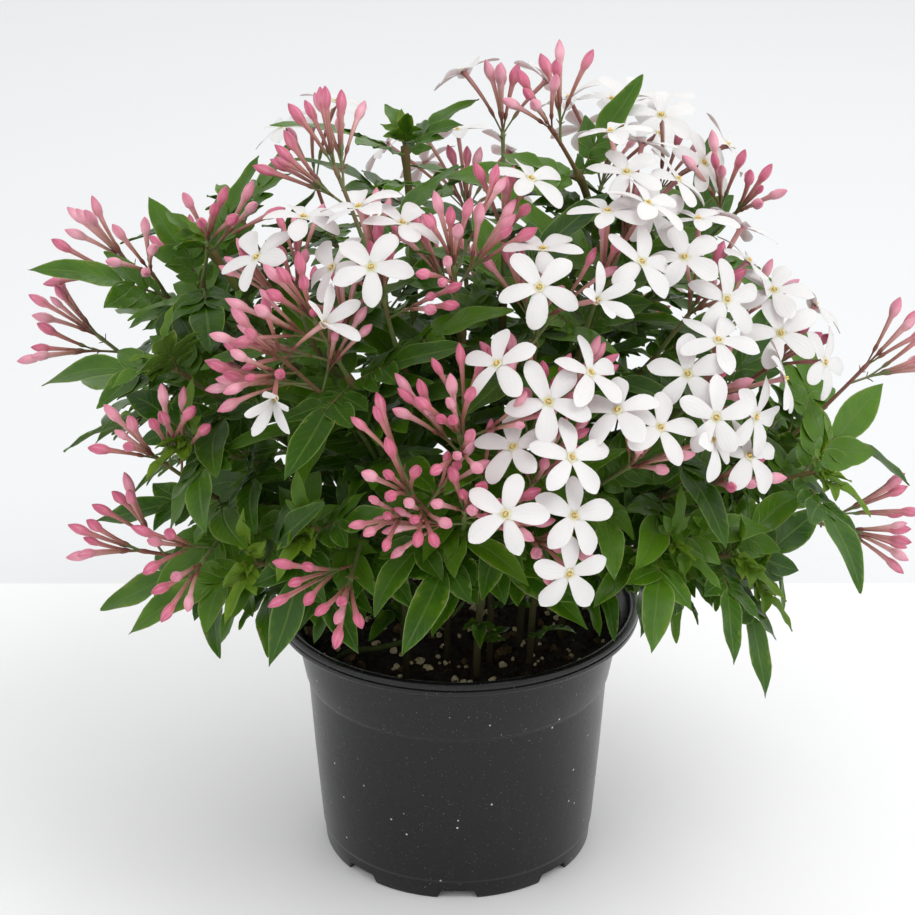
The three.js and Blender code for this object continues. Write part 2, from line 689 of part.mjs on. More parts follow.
// Buds round the end of a stalk, between the blooms that already stand there.
function growBuds(node, stalk, blooms) {
  const flowers = [...blooms];
  for (let i = 0; i < stalk.buds.length; i += 1) {
    const buds = BUD_TRIES.map((attempt) => budOn(stalk, i, attempt));
    const bud = firstClear(node, buds.filter(({ turn }) => hasRoom(flowers, turn)), (flower) => (
      [flower, flowerSolid(flower, ROOT_TRIM), flowerSolid(flower, flower.reach * ROOT_SHARE)]
    ));
    if (bud) flowers.push(bud);
  }
  return flowers;
}

function growBloom(node, rachis, place, draw) {
  const root = along(rachis.root, rachis.axis, rachis.length);
  const target = crown(place);
  const direction = target.clone().sub(root).normalize();
  const [first, second] = across(rachis.axis);
  const aside = Math.atan2(direction.dot(second), direction.dot(first));
  const turn = (THREE.MathUtils.radToDeg(aside) + 360) % 360;
  const level = rachis.axis.clone().cross(direction).normalize();
  const reach = Math.max(target.distanceTo(root), SHORTEST_TUBE);
  const spin = draw() * 72;
  const tries = BLOOM_LIFTS.flatMap((lift) => BLOOM_SPINS.map((more) => [lift, more]));
  return firstClear(node, tries, ([lift, more]) => {
    const bloom = {
      add: addBloom, root, direction, level, turn, reach: reach + lift, spin: spin + more, cup: place[3] ?? 0,
    };
    return [bloom, flowerSolid(bloom, ROOT_TRIM), flowerSolid(bloom, reach * ROOT_SHARE)];
  });
}

function growSpray(node, plan, seed) {
  const draw = random(seed);
  const rachis = rachisOf(plan);
  const open = plan.blooms.map((place) => growBloom(node, rachis, place, draw)).filter(Boolean);
  const [top, ...sides] = stalksOf(plan, draw);
  const flowers = top ? growBuds(node, top, open) : open;
  const cymes = sides
    .filter((side) => firstClear(node, [side], () => [side, stalkRoom(side), stalkRoom(side, 0.5)]))
    .map((side) => stalkSolid(side, growBuds(node, side, [])));
  return union([stalkSolid(rachis, flowers), ...cymes]);
}

// ---------------------------------------------------------------- vines

const LEAF_TRIES = [
  [0, 55, 1], [25, 55, 1], [-25, 55, 1], [0, 80, 1], [0, 35, 1], [50, 65, 1], [-50, 65, 1], [0, 60, 0.8],
  [30, 85, 0.85], [-30, 85, 0.85],
];
const STEM_SIDES = 3;
const LONGEST_STEP = 0.34; // of a stem, between two of its rings

// Smooth stem between two points, leaving and arriving in given directions.
function bend(start, leave, end, arrive, leaveShare, arriveShare) {
  const span = start.distanceTo(end);
  return new THREE.CubicBezierCurve3(
    start,
    along(start, leave, span * leaveShare),
    along(end, arrive, -span * arriveShare),
    end,
  );
}

// The room that the soil takes up, without the holes for the stems.
function soilRoom() {
  const path = new THREE.LineCurve3(vector(0, 0, 0), vector(0, 0, SOIL_LEVEL + SOIL_WAVES));
  return tube(path, SOIL_SIDES, soilRadius(SOIL_LEVEL), 1);
}

// What the vines carry: the places and directions in which their branches end.
function branchEnds() {
  const ends = SPRAYS.map((plan) => {
    const { root, axis } = rachisOf(plan);
    return { end: along(root, axis, -CLEARANCE), axis };
  });
  for (const place of SHOOTS) {
    const end = crown(place);
    ends.push({ end, axis: end.clone().sub(vector(0, 0, SOIL_LEVEL + 20)).normalize() });
  }
  return ends;
}

function nearestVine(end) {
  const azimuth = THREE.MathUtils.radToDeg(Math.atan2(end.x, -end.y));
  const away = (vine) => Math.abs(((azimuth - VINES[vine] + 540) % 360) - 180);
  let best = 0;
  for (let i = 1; i < VINES.length; i += 1) if (away(i) < away(best)) best = i;
  return best;
}

function planVines() {
  const vines = VINES.map((azimuth, i) => {
    const r = VINE_CIRCLES[i % VINE_CIRCLES.length];
    const a = radians(azimuth);
    return { foot: vector(r * Math.sin(a), -r * Math.cos(a), SOIL_LEVEL - STEM_DEPTH), carried: [] };
  });
  for (const end of branchEnds()) vines[nearestVine(end.end)].carried.push(end);
  for (const vine of vines) vine.carried.sort((a, b) => b.end.z - a.end.z);
  return vines;
}

// The stem to the highest end, and a branch from it to each of the others.
function stemsOf(vine) {
  const [top, ...others] = vine.carried;
  const main = bend(vine.foot, UP, top.end, top.axis, 0.4, 0.3);
  const stems = [{ path: main, radius: MAIN_STEM_RADIUS }];
  others.forEach(({ end, axis }, i) => {
    const share = 0.65 - (0.35 * i) / others.length;
    const height = SOIL_LEVEL + share * (end.z - SOIL_LEVEL);
    let t = 0.1;
    while (t < 0.8 && main.getPoint(t).z < height) t += 0.02;
    const start = main.getPoint(t);
    const away = end.clone().sub(start).normalize().multiplyScalar(0.8);
    const leave = away.addScaledVector(main.getTangent(t), 0.6).normalize();
    stems.push({ path: bend(start, leave, end, axis, 0.3, 0.4), radius: BRANCH_RADIUS });
  });
  return stems;
}

function growStems(node, vine) {
  const stems = stemsOf(vine);
  for (const { path, radius } of stems) {
    const envelope = tube(path, 4, radius * 1.2, 8);
    keep(node, envelope, envelope);
  }
  return stems;
}

// Leaf pairs from the end of a stem down. Each pair stands on two neighbouring faces of the stem.
function growLeaves(node, stem, frameAt, draw) {
  const span = stem.path.v0.distanceTo(stem.path.v3);
  const pairs = [];
  for (let pair = 0; pair < LEAF_PAIRS; pair += 1) {
    const t = 1 - (TIP_TO_LEAVES + LEAF_PITCH * pair) / span;
    if (t < 0.15 || stem.path.getPoint(t).z < SOIL_LEVEL + BARE_STEM) break;
    const { point, tangent, first } = frameAt(t);
    const upper = tangent.clone().addScaledVector(UP, 0.6).normalize();
    const leaves = [40, 200].map((start) => {
      const full = THREE.MathUtils.lerp(...LEAF_SIZES, draw());
      return firstClear(node, LEAF_TRIES, ([shift, tilt, share]) => {
        const direction = leaningFrom(tangent, first, tilt, start + 120 * pair + shift);
        const leaf = { root: point, direction, upper, size: full * share, inner: pair > 0 };
        return [leaf, leafSolid(leaf, ROOT_TRIM), leafSolid(leaf, LEAF_ROOT)];
      });
    });
    if (leaves[0] || leaves[1]) pairs.unshift({ t, leaves, face: pair % STEM_SIDES });
  }
  return pairs;
}

// Point, direction and a carried sideways direction along a stem.
function framesOf(path) {
  const steps = 40;
  const firsts = [];
  let first = across(path.getTangent(0))[0];
  for (let i = 0; i <= steps; i += 1) {
    const tangent = path.getTangent(i / steps);
    first = along(first, tangent, -first.dot(tangent)).normalize();
    firsts.push(first);
  }
  return (t) => {
    const tangent = path.getTangent(t);
    const near = firsts[Math.round(t * steps)];
    return { point: path.getPoint(t), tangent, first: along(near, tangent, -near.dot(tangent)).normalize() };
  };
}

// A stem's tube, with a leaf on a face of it wherever one has grown.
function stemSolid(stem, pairs, frameAt) {
  const facets = new Facets();
  const width = 0.8 / stem.path.v0.distanceTo(stem.path.v3);
  const stations = [{ t: 0 }];
  const reach = (t) => {
    const from = stations[stations.length - 1].t;
    const steps = Math.ceil((t - from) / LONGEST_STEP);
    for (let i = 1; i < steps; i += 1) stations.push({ t: from + ((t - from) * i) / steps });
  };
  for (const pair of pairs) {
    reach(pair.t - width);
    stations.push({ t: pair.t - width, pair }, { t: pair.t + width });
  }
  reach(1);
  stations.push({ t: 1 });

  let low = null;
  let pair = null;
  for (const station of stations) {
    const { point, tangent, first } = frameAt(station.t);
    const ring = ringOf(facets, point, tangent, first, [0, 120, 240], stem.radius);
    if (low === null) facets.face(...ring.slice().reverse());
    for (let i = 0; low !== null && i < STEM_SIDES; i += 1) {
      const j = (i + 1) % STEM_SIDES;
      const place = pair === null ? -1 : (i - pair.face + STEM_SIDES) % STEM_SIDES;
      const quad = [low[i], low[j], ring[j], ring[i]];
      if (place === 0 && pair.leaves[0]) addLeaf(facets, quad, pair.leaves[0]);
      else if (place === 1 && pair.leaves[1]) addLeaf(facets, quad, pair.leaves[1]);
      else facets.face(...quad);
    }
    low = ring;
    pair = station.pair ?? null;
  }
  facets.face(...low);
  return facets.solid();
}

function growVine(node, stems, seed) {
  const draw = random(seed);
  return union(stems.map((stem) => {
    const frameAt = framesOf(stem.path);
    return stemSolid(stem, growLeaves(node, stem, frameAt, draw), frameAt);
  }));
}

// ---------------------------------------------------------------- assembly

const MATERIALS = {
  pot: new THREE.MeshStandardMaterial({ color: 0x2b2b2d, roughness: 0.5, metalness: 0 }),
  soil: new THREE.MeshStandardMaterial({ color: 0x1b1511, roughness: 0.95, metalness: 0 }),
  vine: new THREE.MeshStandardMaterial({ color: 0x2f6b1d, roughness: 0.55, metalness: 0 }),
  spray: new THREE.MeshStandardMaterial({ color: 0xe9a9bd, roughness: 0.6, metalness: 0 }),
};

const plant = new THREE.Group();

function add(name, material, solid) {
  const mesh = new THREE.Mesh(geometryOf(solid), MATERIALS[material]);
  mesh.name = name;
  plant.add(mesh);
}

function numbered(name, index) {
  return `${name}_${String(index + 1).padStart(2, '0')}`;
}

// Pot, soil, stems and rachises come first, then the flowers and buds, and last the leaves.
const nurseryPot = pot();
keep('pot', nurseryPot, nurseryPot);
keep('soil', soilRoom(), soilRoom());
const vines = planVines();
const stems = vines.map((vine, i) => growStems(numbered('vine', i), vine));
SPRAYS.forEach((plan, i) => {
  const room = stalkRoom(rachisOf(plan));
  keep(numbered('spray', i), room, room);
});
const sprays = SPRAYS.map((plan, i) => growSpray(numbered('spray', i), plan, i + 1));
const leafyVines = stems.map((set, i) => growVine(numbered('vine', i), set, LEAF_SEED + i));

const holes = vines.map(({ foot }) => {
  const path = new THREE.LineCurve3(along(foot, UP, -CLEARANCE), along(foot, UP, STEM_DEPTH * 2));
  return tube(path, 4, STEM_HOLE_RADIUS, 1);
});

add('pot', 'pot', nurseryPot);
add('soil', 'soil', soil(holes));
leafyVines.forEach((solid, i) => add(numbered('vine', i), 'vine', solid));
sprays.forEach((solid, i) => add(numbered('spray', i), 'spray', solid));

export default plant;
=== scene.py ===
"""Pink jasmine in its nursery pot: the finish of every piece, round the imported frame.

The plant repeats the layout and the growing rules of its CAD source, in millimetres. Where the
source tried several places for a bud, a bloom or a leaf, the one that it kept is found by its tip
among the corners of the CAD node. The leaflets, buds, blooms and young leaves that the source leaves
out are added here, wherever they find room. A piece is turned into metres when its mesh is made.
"""

import math
from types import SimpleNamespace

import bmesh
import bpy
import numpy as np
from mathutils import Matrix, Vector, kdtree, noise


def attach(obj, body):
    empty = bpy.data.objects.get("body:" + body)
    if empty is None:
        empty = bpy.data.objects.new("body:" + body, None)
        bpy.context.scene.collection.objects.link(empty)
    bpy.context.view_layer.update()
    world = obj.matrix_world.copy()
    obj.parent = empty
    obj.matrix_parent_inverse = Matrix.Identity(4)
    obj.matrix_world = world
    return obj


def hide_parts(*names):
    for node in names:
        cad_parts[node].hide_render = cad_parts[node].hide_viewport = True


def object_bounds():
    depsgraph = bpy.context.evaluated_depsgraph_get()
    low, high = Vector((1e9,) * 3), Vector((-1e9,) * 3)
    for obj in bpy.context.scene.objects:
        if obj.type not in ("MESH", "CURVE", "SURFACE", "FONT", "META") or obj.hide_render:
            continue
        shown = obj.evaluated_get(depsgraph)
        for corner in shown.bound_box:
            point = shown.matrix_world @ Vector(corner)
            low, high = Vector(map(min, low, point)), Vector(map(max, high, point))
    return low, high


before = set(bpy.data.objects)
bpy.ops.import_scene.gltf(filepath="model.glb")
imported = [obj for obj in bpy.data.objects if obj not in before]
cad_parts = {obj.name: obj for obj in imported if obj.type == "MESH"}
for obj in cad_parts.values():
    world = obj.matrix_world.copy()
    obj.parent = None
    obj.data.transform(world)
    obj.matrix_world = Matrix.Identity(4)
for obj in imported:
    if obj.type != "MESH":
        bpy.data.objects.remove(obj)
cad_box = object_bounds()

MM = 0.001

# ------------------------------------------------------------------ sizes shared with the CAD source

POT_HEIGHT = 112
FOOT_RADIUS = 57
COLLAR_FOOT = 80
FLOOR_LIFT = 2
FLOOR_TOP = 3.5
CENTRE_PAD_RADIUS = 22
FOOT_RING_INNER = 49
NOTCHES = 8
NOTCH_WIDTH = 17
NOTCH_HEIGHT = 3.9
NOTCH_SLOPE = 1.5

SOIL_LEVEL = 98
CLEARANCE = 0.35

CROWN_WIDTH = 165
CROWN_DEPTH = 150
CROWN_HEIGHT = 170
CROWN_CENTRE = 165

MAIN_STEM_RADIUS = 2.0
BRANCH_RADIUS = 1.15
RACHIS_RADIUS = 0.9
RACHIS_LENGTH = 16
RACHIS_PITCH = 6
CYME_STALK = 9
CYME_RADIUS = 0.56
STEM_DEPTH = 10

BUD_REACH = 31
BUD_HEAD = 11.5
PETAL_REACH = 15
PETALS = 5
SHORTEST_TUBE = 24

LEAF_PITCH = 24
LEAF_PAIRS = 2
TIP_TO_LEAVES = 5
BARE_STEM = 22
PETIOLE = 14
END_PETIOLE = 4
END_LEAFLET = 33
LEAF_SIZES = (0.84, 1.18)
LEAF_SEED = 161
LEAF_DROOP = 0.004

# Each spray: where it comes from, where its bud tips lie, the buds of each cyme, the open blooms.
# A place is azimuth, elevation and reach on the crown, and a bloom may add how far its petals fold.
SPRAYS = [
    ((-95, 33, 0.9), (-94, 36, 1.14), (4, 3), ()),
    ((-91, 22, 0.9), (-90, 26, 1.12), (4, 3), ()),
    ((-98, 30, 0.8), (-68, 41, 1.05), (5,), ()),
    ((-82, 40, 0.8), (-55, 51, 1.05), (4, 3), ()),
    ((-55, 14, 0.8), (-51, 21, 1.06), (4, 3, 3), ()),
    ((-54, 0, 0.8), (-54, 6, 1.08), (4, 3), ()),
    ((-44, 5, 0.8), (-38, 2, 1.05), (4, 3), ()),
    ((-18, 6, 0.75), (-15, 3, 1.0), (4, 4), ()),
    ((-40, 64, 0.75), (-62, 69, 1.08), (4, 4, 4), ()),
    ((-30, 35, 0.8), (-35, 38, 1.07), (4, 3, 3), ((-22, 40, 1.0, 50), (-27, 30, 1.0, 55))),
    ((-26, 40, 0.8), (-30, 45, 1.08), (4, 3), ()),
    ((1, 26, 0.8), (-1, 32, 1.05), (4, 3, 3), ()),
    ((-6, 18, 0.8), (-9, 23, 1.05), (4, 3), ()),
    ((1, 16, 0.8), (1, 21, 1.05), (4, 3), ()),
    ((0, 52, 0.8), (-2, 55, 1.07), (4, 4), ()),
    ((16, 60, 0.75), (12, 62, 1.03), (3,), ((20, 62, 1),)),
    ((100, 66, 0.78), (35, 76, 1.07), (4, 4), ()),
    ((104, 42, 0.82), (82, 47, 1.08), (4, 4), ()),
    ((86, 15, 0.95), (88, 22, 1.2), (3, 3), ()),
    ((79, -2, 0.85), (78, -4, 1.14), (3, 3), ()),
    ((20, 44, 0.7), (17, 49, 1), (), ((18, 53, 1), (14, 45, 1.02), (24, 43, 1, 45))),
    ((36, 46, 0.7), (35, 52, 1), (), ((35, 55, 1), (36, 47, 1))),
    ((58, 54, 0.7), (55, 59, 1), (), ((49, 60, 1), (63, 56, 1))),
    ((142, 44, 0.75), (140, 50, 1.02), (), ((139, 55, 1.02), (152, 46, 1), (130, 49, 1))),
    ((110, 50, 0.75), (107, 56, 1.03), (), ((104, 50, 1.04), (112, 60, 1.04))),
    ((56, 38, 0.7), (55, 43, 1.02), (3,), ((57, 50, 1), (62, 42, 1), (50, 39, 1))),
    ((74, 24, 0.75), (70, 29, 1.03), (4,), ((59, 32, 1), (69, 25, 1))),
    ((47, 25, 0.7), (44, 31, 1.02), (3,), ((53, 27, 1), (46, 24, 1), (43, 34, 1), (36, 32, 1))),
    ((30, 19, 0.7), (29, 24, 1.02), (4,), ((29, 26, 1), (37, 23, 1), (23, 29, 1))),
    ((46, 14, 0.75), (44, 18, 1.02), (3,), ((45, 20, 1),)),
    ((14, 28, 0.7), (15, 34, 1.02), (4,), ((6, 36, 1), (13, 31, 1), (20, 34, 1))),
    ((12, 19, 0.75), (12, 24, 1.02), (), ((15, 24, 1.02), (8, 26, 0.95))),
    ((12, 12, 0.7), (14, 12, 0.98), (4,), ((7, 17, 1), (15, 17, 1), (14, 10, 1))),
    ((-38, 44, 0.75), (-37, 50, 1.02), (), ((-35, 54, 1), (-40, 47, 1))),
    ((-16, 46, 0.72), (-18, 52, 1.02), (4,), ((-22, 56, 1.02), (-12, 55, 1), (-25, 48, 1), (-15, 47, 1.04))),
    ((178, 34, 0.75), (178, 38, 1.02), (3,), ((-174, 35, 1), (180, 43, 1), (170, 38, 1), (-166, 40, 1))),
    ((120, 16, 0.8), (121, 21, 1.05), (4, 3), ()),
    ((148, 8, 0.8), (148, 13, 1.02), (3,), ((143, 14, 1),)),
    ((176, 14, 0.8), (177, 19, 1.04), (4, 3), ()),
    ((-152, 10, 0.8), (-152, 15, 1.02), (3,), ((-147, 16, 1),)),
    ((-125, 22, 0.8), (-125, 28, 1.05), (4, 3), ()),
    ((-145, 42, 0.78), (-143, 48, 1.04), (3,), ((-138, 49, 1),)),
    ((160, 64, 0.78), (165, 68, 1.03), (4,), ((178, 66, 1),)),
]
SHOOTS = [
    (-74, 47, 0.88), (-60, 30, 0.88), (-50, 21, 0.84), (-36, 4, 0.78), (-26, 12, 0.76),
    (38, 7, 0.78), (50, 2, 0.82), (62, 12, 0.95), (60, -6, 0.8), (95, 4, 0.82), (140, 28, 0.84),
    (162, 0, 0.78), (-170, 0, 0.8), (-135, 2, 0.8), (-110, 6, 0.84), (-112, 46, 0.84),
    (-143, 75, 0.82),
]
VINES = [-100, -72, -48, -28, -8, 10, 26, 42, 58, 80, 105, 135, 165, -165, -135]
VINE_CIRCLES = (30, 44)

# What the source tried in its order: tilt, turn and reach for a bud, lift and spin for a bloom, and
# turn, tilt and size for a leaf.
BUD_TRIES = [
    (0, 0, 0), (5, 0, 0), (0, 18, 0), (0, -18, 0), (10, 0, 2), (-6, 0, -2), (8, 24, -3), (8, -24, -3),
]
BLOOM_TRIES = [(lift, spin) for lift in (0, 3, -3, 6, -6, 9, -9, 12, 15) for spin in (0, 24, 48)]
LEAF_TRIES = [
    (0, 55, 1), (25, 55, 1), (-25, 55, 1), (0, 80, 1), (0, 35, 1), (50, 65, 1), (-50, 65, 1), (0, 60, 0.8),
    (30, 85, 0.85), (-30, 85, 0.85),
]
CYME_TILT = 36
BUD_TILT = 19
BUD_SPREAD = (16, 10, 5)  # of a bud's turn, tilt and reach, about their middles
GOLDEN_ANGLE = 137.5
CYME_SPREAD = 0.7

# ------------------------------------------------------------------ vectors

UP = np.array([0.0, 0.0, 1.0])


def unit(v):
    return v / np.linalg.norm(v)


def crown(place):
    """Point of a place on the crown's ellipsoid."""
    azimuth, elevation, reach = place[:3]
    a, e = math.radians(azimuth), math.radians(elevation)
    return np.array([
        CROWN_WIDTH * reach * math.sin(a) * math.cos(e),
        -CROWN_DEPTH * reach * math.cos(a) * math.cos(e),
        CROWN_CENTRE + CROWN_HEIGHT * reach * math.sin(e),
    ])


def across(axis):
    """Two directions square to an axis, the first one level."""
    level = np.array([1.0, 0, 0]) if abs(axis[2]) > 0.98 else unit(np.array([axis[1], -axis[0], 0]))
    first = unit(level - axis * (level @ axis))
    return first, np.cross(axis, first)


def leaning_from(axis, first, tilt, turn):
    """Direction at a tilt from an axis, towards a turn from a first direction round it."""
    t, lean = math.radians(turn), math.radians(tilt)
    side = first * math.cos(t) + np.cross(axis, first) * math.sin(t)
    return axis * math.cos(lean) + side * math.sin(lean)


def leaning(axis, tilt, turn):
    return leaning_from(axis, across(axis)[0], tilt, turn)


def placed(root, along, side, above, forward, sideways, lift):
    """Points at distances along three directions from a root."""
    forward, sideways, lift = np.broadcast_arrays(forward, sideways, lift)
    return root + along * forward[..., None] + side * sideways[..., None] + above * lift[..., None]


class Draws:
    """The source's own stream of random numbers."""

    def __init__(self, seed):
        self.state = (seed * 69069 + 362437) % 2**32

    def __call__(self):
        self.state = (self.state * 1664525 + 1013904223) % 2**32
        return self.state / 2**32


def drawn(rng, spans):
    """A number from each named span, drawn in their order."""
    return SimpleNamespace(**{name: rng.uniform(*span) for name, span in spans.items()})


class Corners:
    """The corners of a CAD node, among which the tip of what grew there is found."""

    NEAR = 0.05 * MM

    def __init__(self, node):
        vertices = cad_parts[node].data.vertices
        self.tree = kdtree.KDTree(len(vertices))
        for i, vertex in enumerate(vertices):
            self.tree.insert(vertex.co, i)
        self.tree.balance()

    def has(self, point):
        return self.tree.find(Vector(point * MM))[2] < self.NEAR


def first_found(corners, tries, form):
    """The first try whose tip is a corner of the node, or None. form gives a piece and its tip."""
    for attempt in tries:
        piece, tip = form(*attempt)
        if corners.has(tip):
            return piece
    return None


# ------------------------------------------------------------------ how the sprays grow


def rachis_of(plan):
    start, end, cymes, _ = plan
    tips = crown(end)
    axis = unit(tips - crown(start))
    length = RACHIS_LENGTH + RACHIS_PITCH * len(cymes)
    root = tips - axis * (BUD_REACH + length)
    return {"root": root, "axis": axis, "length": length, "radius": RACHIS_RADIUS}


def bud_of(stalk, draws, even, tilt=0, turn=0, reach=0):
    around, aside, ahead = [(draw - 0.5) * spread for draw, spread in zip(draws, BUD_SPREAD)]
    at = (even + around + turn + 720) % 360
    direction = leaning(stalk["axis"], BUD_TILT + aside + tilt, at)
    root = stalk["root"] + stalk["axis"] * stalk["length"]
    reach = BUD_REACH + ahead + reach
    bud = {"root": root, "direction": direction, "reach": reach, "axis": stalk["axis"], "size": 1.0}
    return bud, root + direction * reach


def bloom_of(rachis, place, spin):
    """A function that forms the bloom at a lift and a further spin."""
    root = rachis["root"] + rachis["axis"] * rachis["length"]
    target = crown(place)
    direction = unit(target - root)
    level = unit(np.cross(rachis["axis"], direction))
    reach = max(np.linalg.norm(target - root), SHORTEST_TUBE)
    cup = place[3] if len(place) > 3 else 0

    def form(lift, more):
        bloom = {
            "root": root, "axis": rachis["axis"], "direction": direction, "level": level, "cup": cup,
            "reach": reach + lift, "spin": spin + more, "centre": root + direction * (reach + lift),
        }
        return bloom, petal_point(bloom, 0, PETAL_REACH)

    return form


def petal_point(bloom, petal, reach):
    """Point on the middle line of a petal, as the source has it."""
    t = math.radians(bloom["spin"] + petal * 360 / PETALS)
    cup = math.radians(bloom["cup"])
    second = np.cross(bloom["direction"], bloom["level"])
    outward = bloom["level"] * math.cos(t) + second * math.sin(t)
    return bloom["centre"] + outward * reach * math.cos(cup) + bloom["direction"] * reach * math.sin(cup)


def side_stalk(rachis, share, tilt, turn, length):
    """The stalk of a cyme, from a share of the rachis."""
    root = rachis["root"] + rachis["axis"] * rachis["length"] * share
    axis = leaning(rachis["axis"], tilt, turn)
    return {"root": root, "axis": axis, "length": length, "radius": CYME_RADIUS}


def grow_spray(index):
    """The rachis, side stalks, buds and blooms that stand in a CAD spray."""
    plan = SPRAYS[index]
    corners = Corners(f"spray_{index + 1:02d}")
    draw = Draws(index + 1)
    rachis = rachis_of(plan)
    found = [first_found(corners, BLOOM_TRIES, bloom_of(rachis, place, draw() * 72)) for place in plan[3]]
    blooms = [bloom for bloom in found if bloom]
    stalks = []
    cymes = plan[2]
    for i, count in enumerate(cymes):
        turn = draw() * 360
        draws = [(draw(), draw(), draw()) for _ in range(count)]
        stalk = dict(rachis)
        if i > 0:
            share = 1 - CYME_SPREAD * i / len(cymes)
            stalk = side_stalk(rachis, share, CYME_TILT, turn + i * GOLDEN_ANGLE, CYME_STALK)
        evens = [turn + (k + 0.5) * 360 / count for k in range(count)]
        found = [
            first_found(corners, BUD_TRIES, lambda *more, d=d, e=e: bud_of(stalk, d, e, *more))
            for d, e in zip(draws, evens)
        ]
        stalk["buds"] = [bud for bud in found if bud]
        if i == 0 or stalk["buds"]:
            stalks.append(stalk)
    if not stalks:
        stalks.append(dict(rachis, buds=[]))
    return {"stalks": stalks, "blooms": blooms, "rachis": rachis}


# ------------------------------------------------------------------ how the vines grow


# How far a stem holds the directions that it leaves and arrives in, as shares of its span.
MAIN_HOLD = (0.4, 0.3)
BRANCH_HOLD = (0.3, 0.4)
# A branch leaves the main stem at a share of its own end's height, the first one highest.
HIGHEST_FORK = 0.65
FORK_SPREAD = 0.35
FORK_RANGE = (0.1, 0.8)
FORK_STEP = 0.02
FORK_AIM = 0.8
FORK_FOLLOW = 0.6
LEAF_LIFT = 0.6  # of a leaf's upper side, from its stem's direction towards the sky
LOWEST_LEAVES = 0.15  # on a stem, as a share of it
LEAF_TURNS = (40, 200)
PAIR_TURN = 120


class Bend:
    """Smooth stem between two points, leaving and arriving in given directions."""

    NEARBY = 1e-4

    def __init__(self, start, leave, end, arrive, leave_share, arrive_share):
        span = np.linalg.norm(end - start)
        self.points = (start, start + leave * span * leave_share, end - arrive * span * arrive_share, end)
        self.span = span

    def point(self, t):
        a, b, c, d = self.points
        s = 1 - t
        return a * s**3 + b * (3 * s * s * t) + c * (3 * s * t * t) + d * t**3

    def tangent(self, t):
        low, high = max(t - self.NEARBY, 0), min(t + self.NEARBY, 1)
        return unit(self.point(high) - self.point(low))


def branch_ends():
    ends = []
    for i, plan in enumerate(SPRAYS):
        rachis = rachis_of(plan)
        ends.append({"end": rachis["root"] - rachis["axis"] * CLEARANCE, "axis": rachis["axis"], "spray": i})
    for place in SHOOTS:
        end = crown(place)
        ends.append({"end": end, "axis": unit(end - np.array([0, 0, SOIL_LEVEL + 20])), "spray": None})
    return ends


def nearest_vine(end):
    azimuth = math.degrees(math.atan2(end[0], -end[1]))
    return min(range(len(VINES)), key=lambda i: abs((azimuth - VINES[i] + 540) % 360 - 180))


def plan_vines():
    vines = []
    for i, azimuth in enumerate(VINES):
        r, a = VINE_CIRCLES[i % 2], math.radians(azimuth)
        foot = np.array([r * math.sin(a), -r * math.cos(a), SOIL_LEVEL - STEM_DEPTH])
        vines.append({"foot": foot, "carried": []})
    for end in branch_ends():
        vines[nearest_vine(end["end"])]["carried"].append(end)
    for vine in vines:
        vine["carried"].sort(key=lambda end: -end["end"][2])
    return vines


def stems_of(vine):
    """The stem to the highest end, and a branch from it to each of the others."""
    top, *others = vine["carried"]
    main = Bend(vine["foot"], UP, top["end"], top["axis"], *MAIN_HOLD)
    stems = [{"path": main, "radius": MAIN_STEM_RADIUS, "from": 0.0, "spray": top["spray"]}]
    for i, other in enumerate(others):
        share = HIGHEST_FORK - FORK_SPREAD * i / len(others)
        height = SOIL_LEVEL + share * (other["end"][2] - SOIL_LEVEL)
        t = FORK_RANGE[0]
        while t < FORK_RANGE[1] and main.point(t)[2] < height:
            t += FORK_STEP
        start = main.point(t)
        leave = unit(other["end"] - start) * FORK_AIM + main.tangent(t) * FORK_FOLLOW
        path = Bend(start, unit(leave), other["end"], other["axis"], *BRANCH_HOLD)
        stems.append({"path": path, "radius": BRANCH_RADIUS, "from": t, "spray": other["spray"]})
    return stems


def carried_frames(path):
    """A function that gives point, direction and a carried sideways direction along a stem."""
    steps = 40
    firsts = []
    first = across(path.tangent(0))[0]
    for i in range(steps + 1):
        tangent = path.tangent(i / steps)
        first = unit(first - tangent * (first @ tangent))
        firsts.append(first)

    def at(t):
        tangent = path.tangent(t)
        near = firsts[int(t * steps + 0.5)]
        return path.point(t), tangent, unit(near - tangent * (near @ tangent))

    return at


def leaf_of(point, tangent, first, start, full):
    """A function that forms the leaf at a shift, a tilt and a share of its full size."""
    upper = unit(tangent + UP * LEAF_LIFT)

    def form(shift, tilt, share):
        direction = leaning_from(tangent, first, tilt, start + shift)
        leaf = {"root": point, "direction": direction, "upper": upper, "size": full * share}
        return leaf, leaf_place(leaf, PETIOLE + END_PETIOLE + END_LEAFLET, 0, 0)

    return form


def leaf_place(leaf, forward, sideways, lift):
    """Points of a leaf from distances along it, across it and above it."""
    side = unit(np.cross(leaf["upper"], leaf["direction"]))
    top = np.cross(leaf["direction"], side)
    forward, sideways, lift = np.broadcast_arrays(forward, sideways, lift)
    reach = np.hypot(forward, sideways)
    size = leaf["size"]
    lift = lift - LEAF_DROOP * reach * reach * size
    return placed(leaf["root"], leaf["direction"], side, top, forward * size, sideways * size, lift)


def grow_leaves(corners, stem, at, draw):
    leaves = []
    for pair in range(LEAF_PAIRS):
        t = 1 - (TIP_TO_LEAVES + LEAF_PITCH * pair) / stem["path"].span
        if t < LOWEST_LEAVES or stem["path"].point(t)[2] < SOIL_LEVEL + BARE_STEM:
            break
        point, tangent, first = at(t)
        for start in LEAF_TURNS:
            full = LEAF_SIZES[0] + (LEAF_SIZES[1] - LEAF_SIZES[0]) * draw()
            form = leaf_of(point, tangent, first, start + PAIR_TURN * pair, full)
            leaf = first_found(corners, LEAF_TRIES, form)
            if leaf:
                leaves.append(leaf)
    return leaves


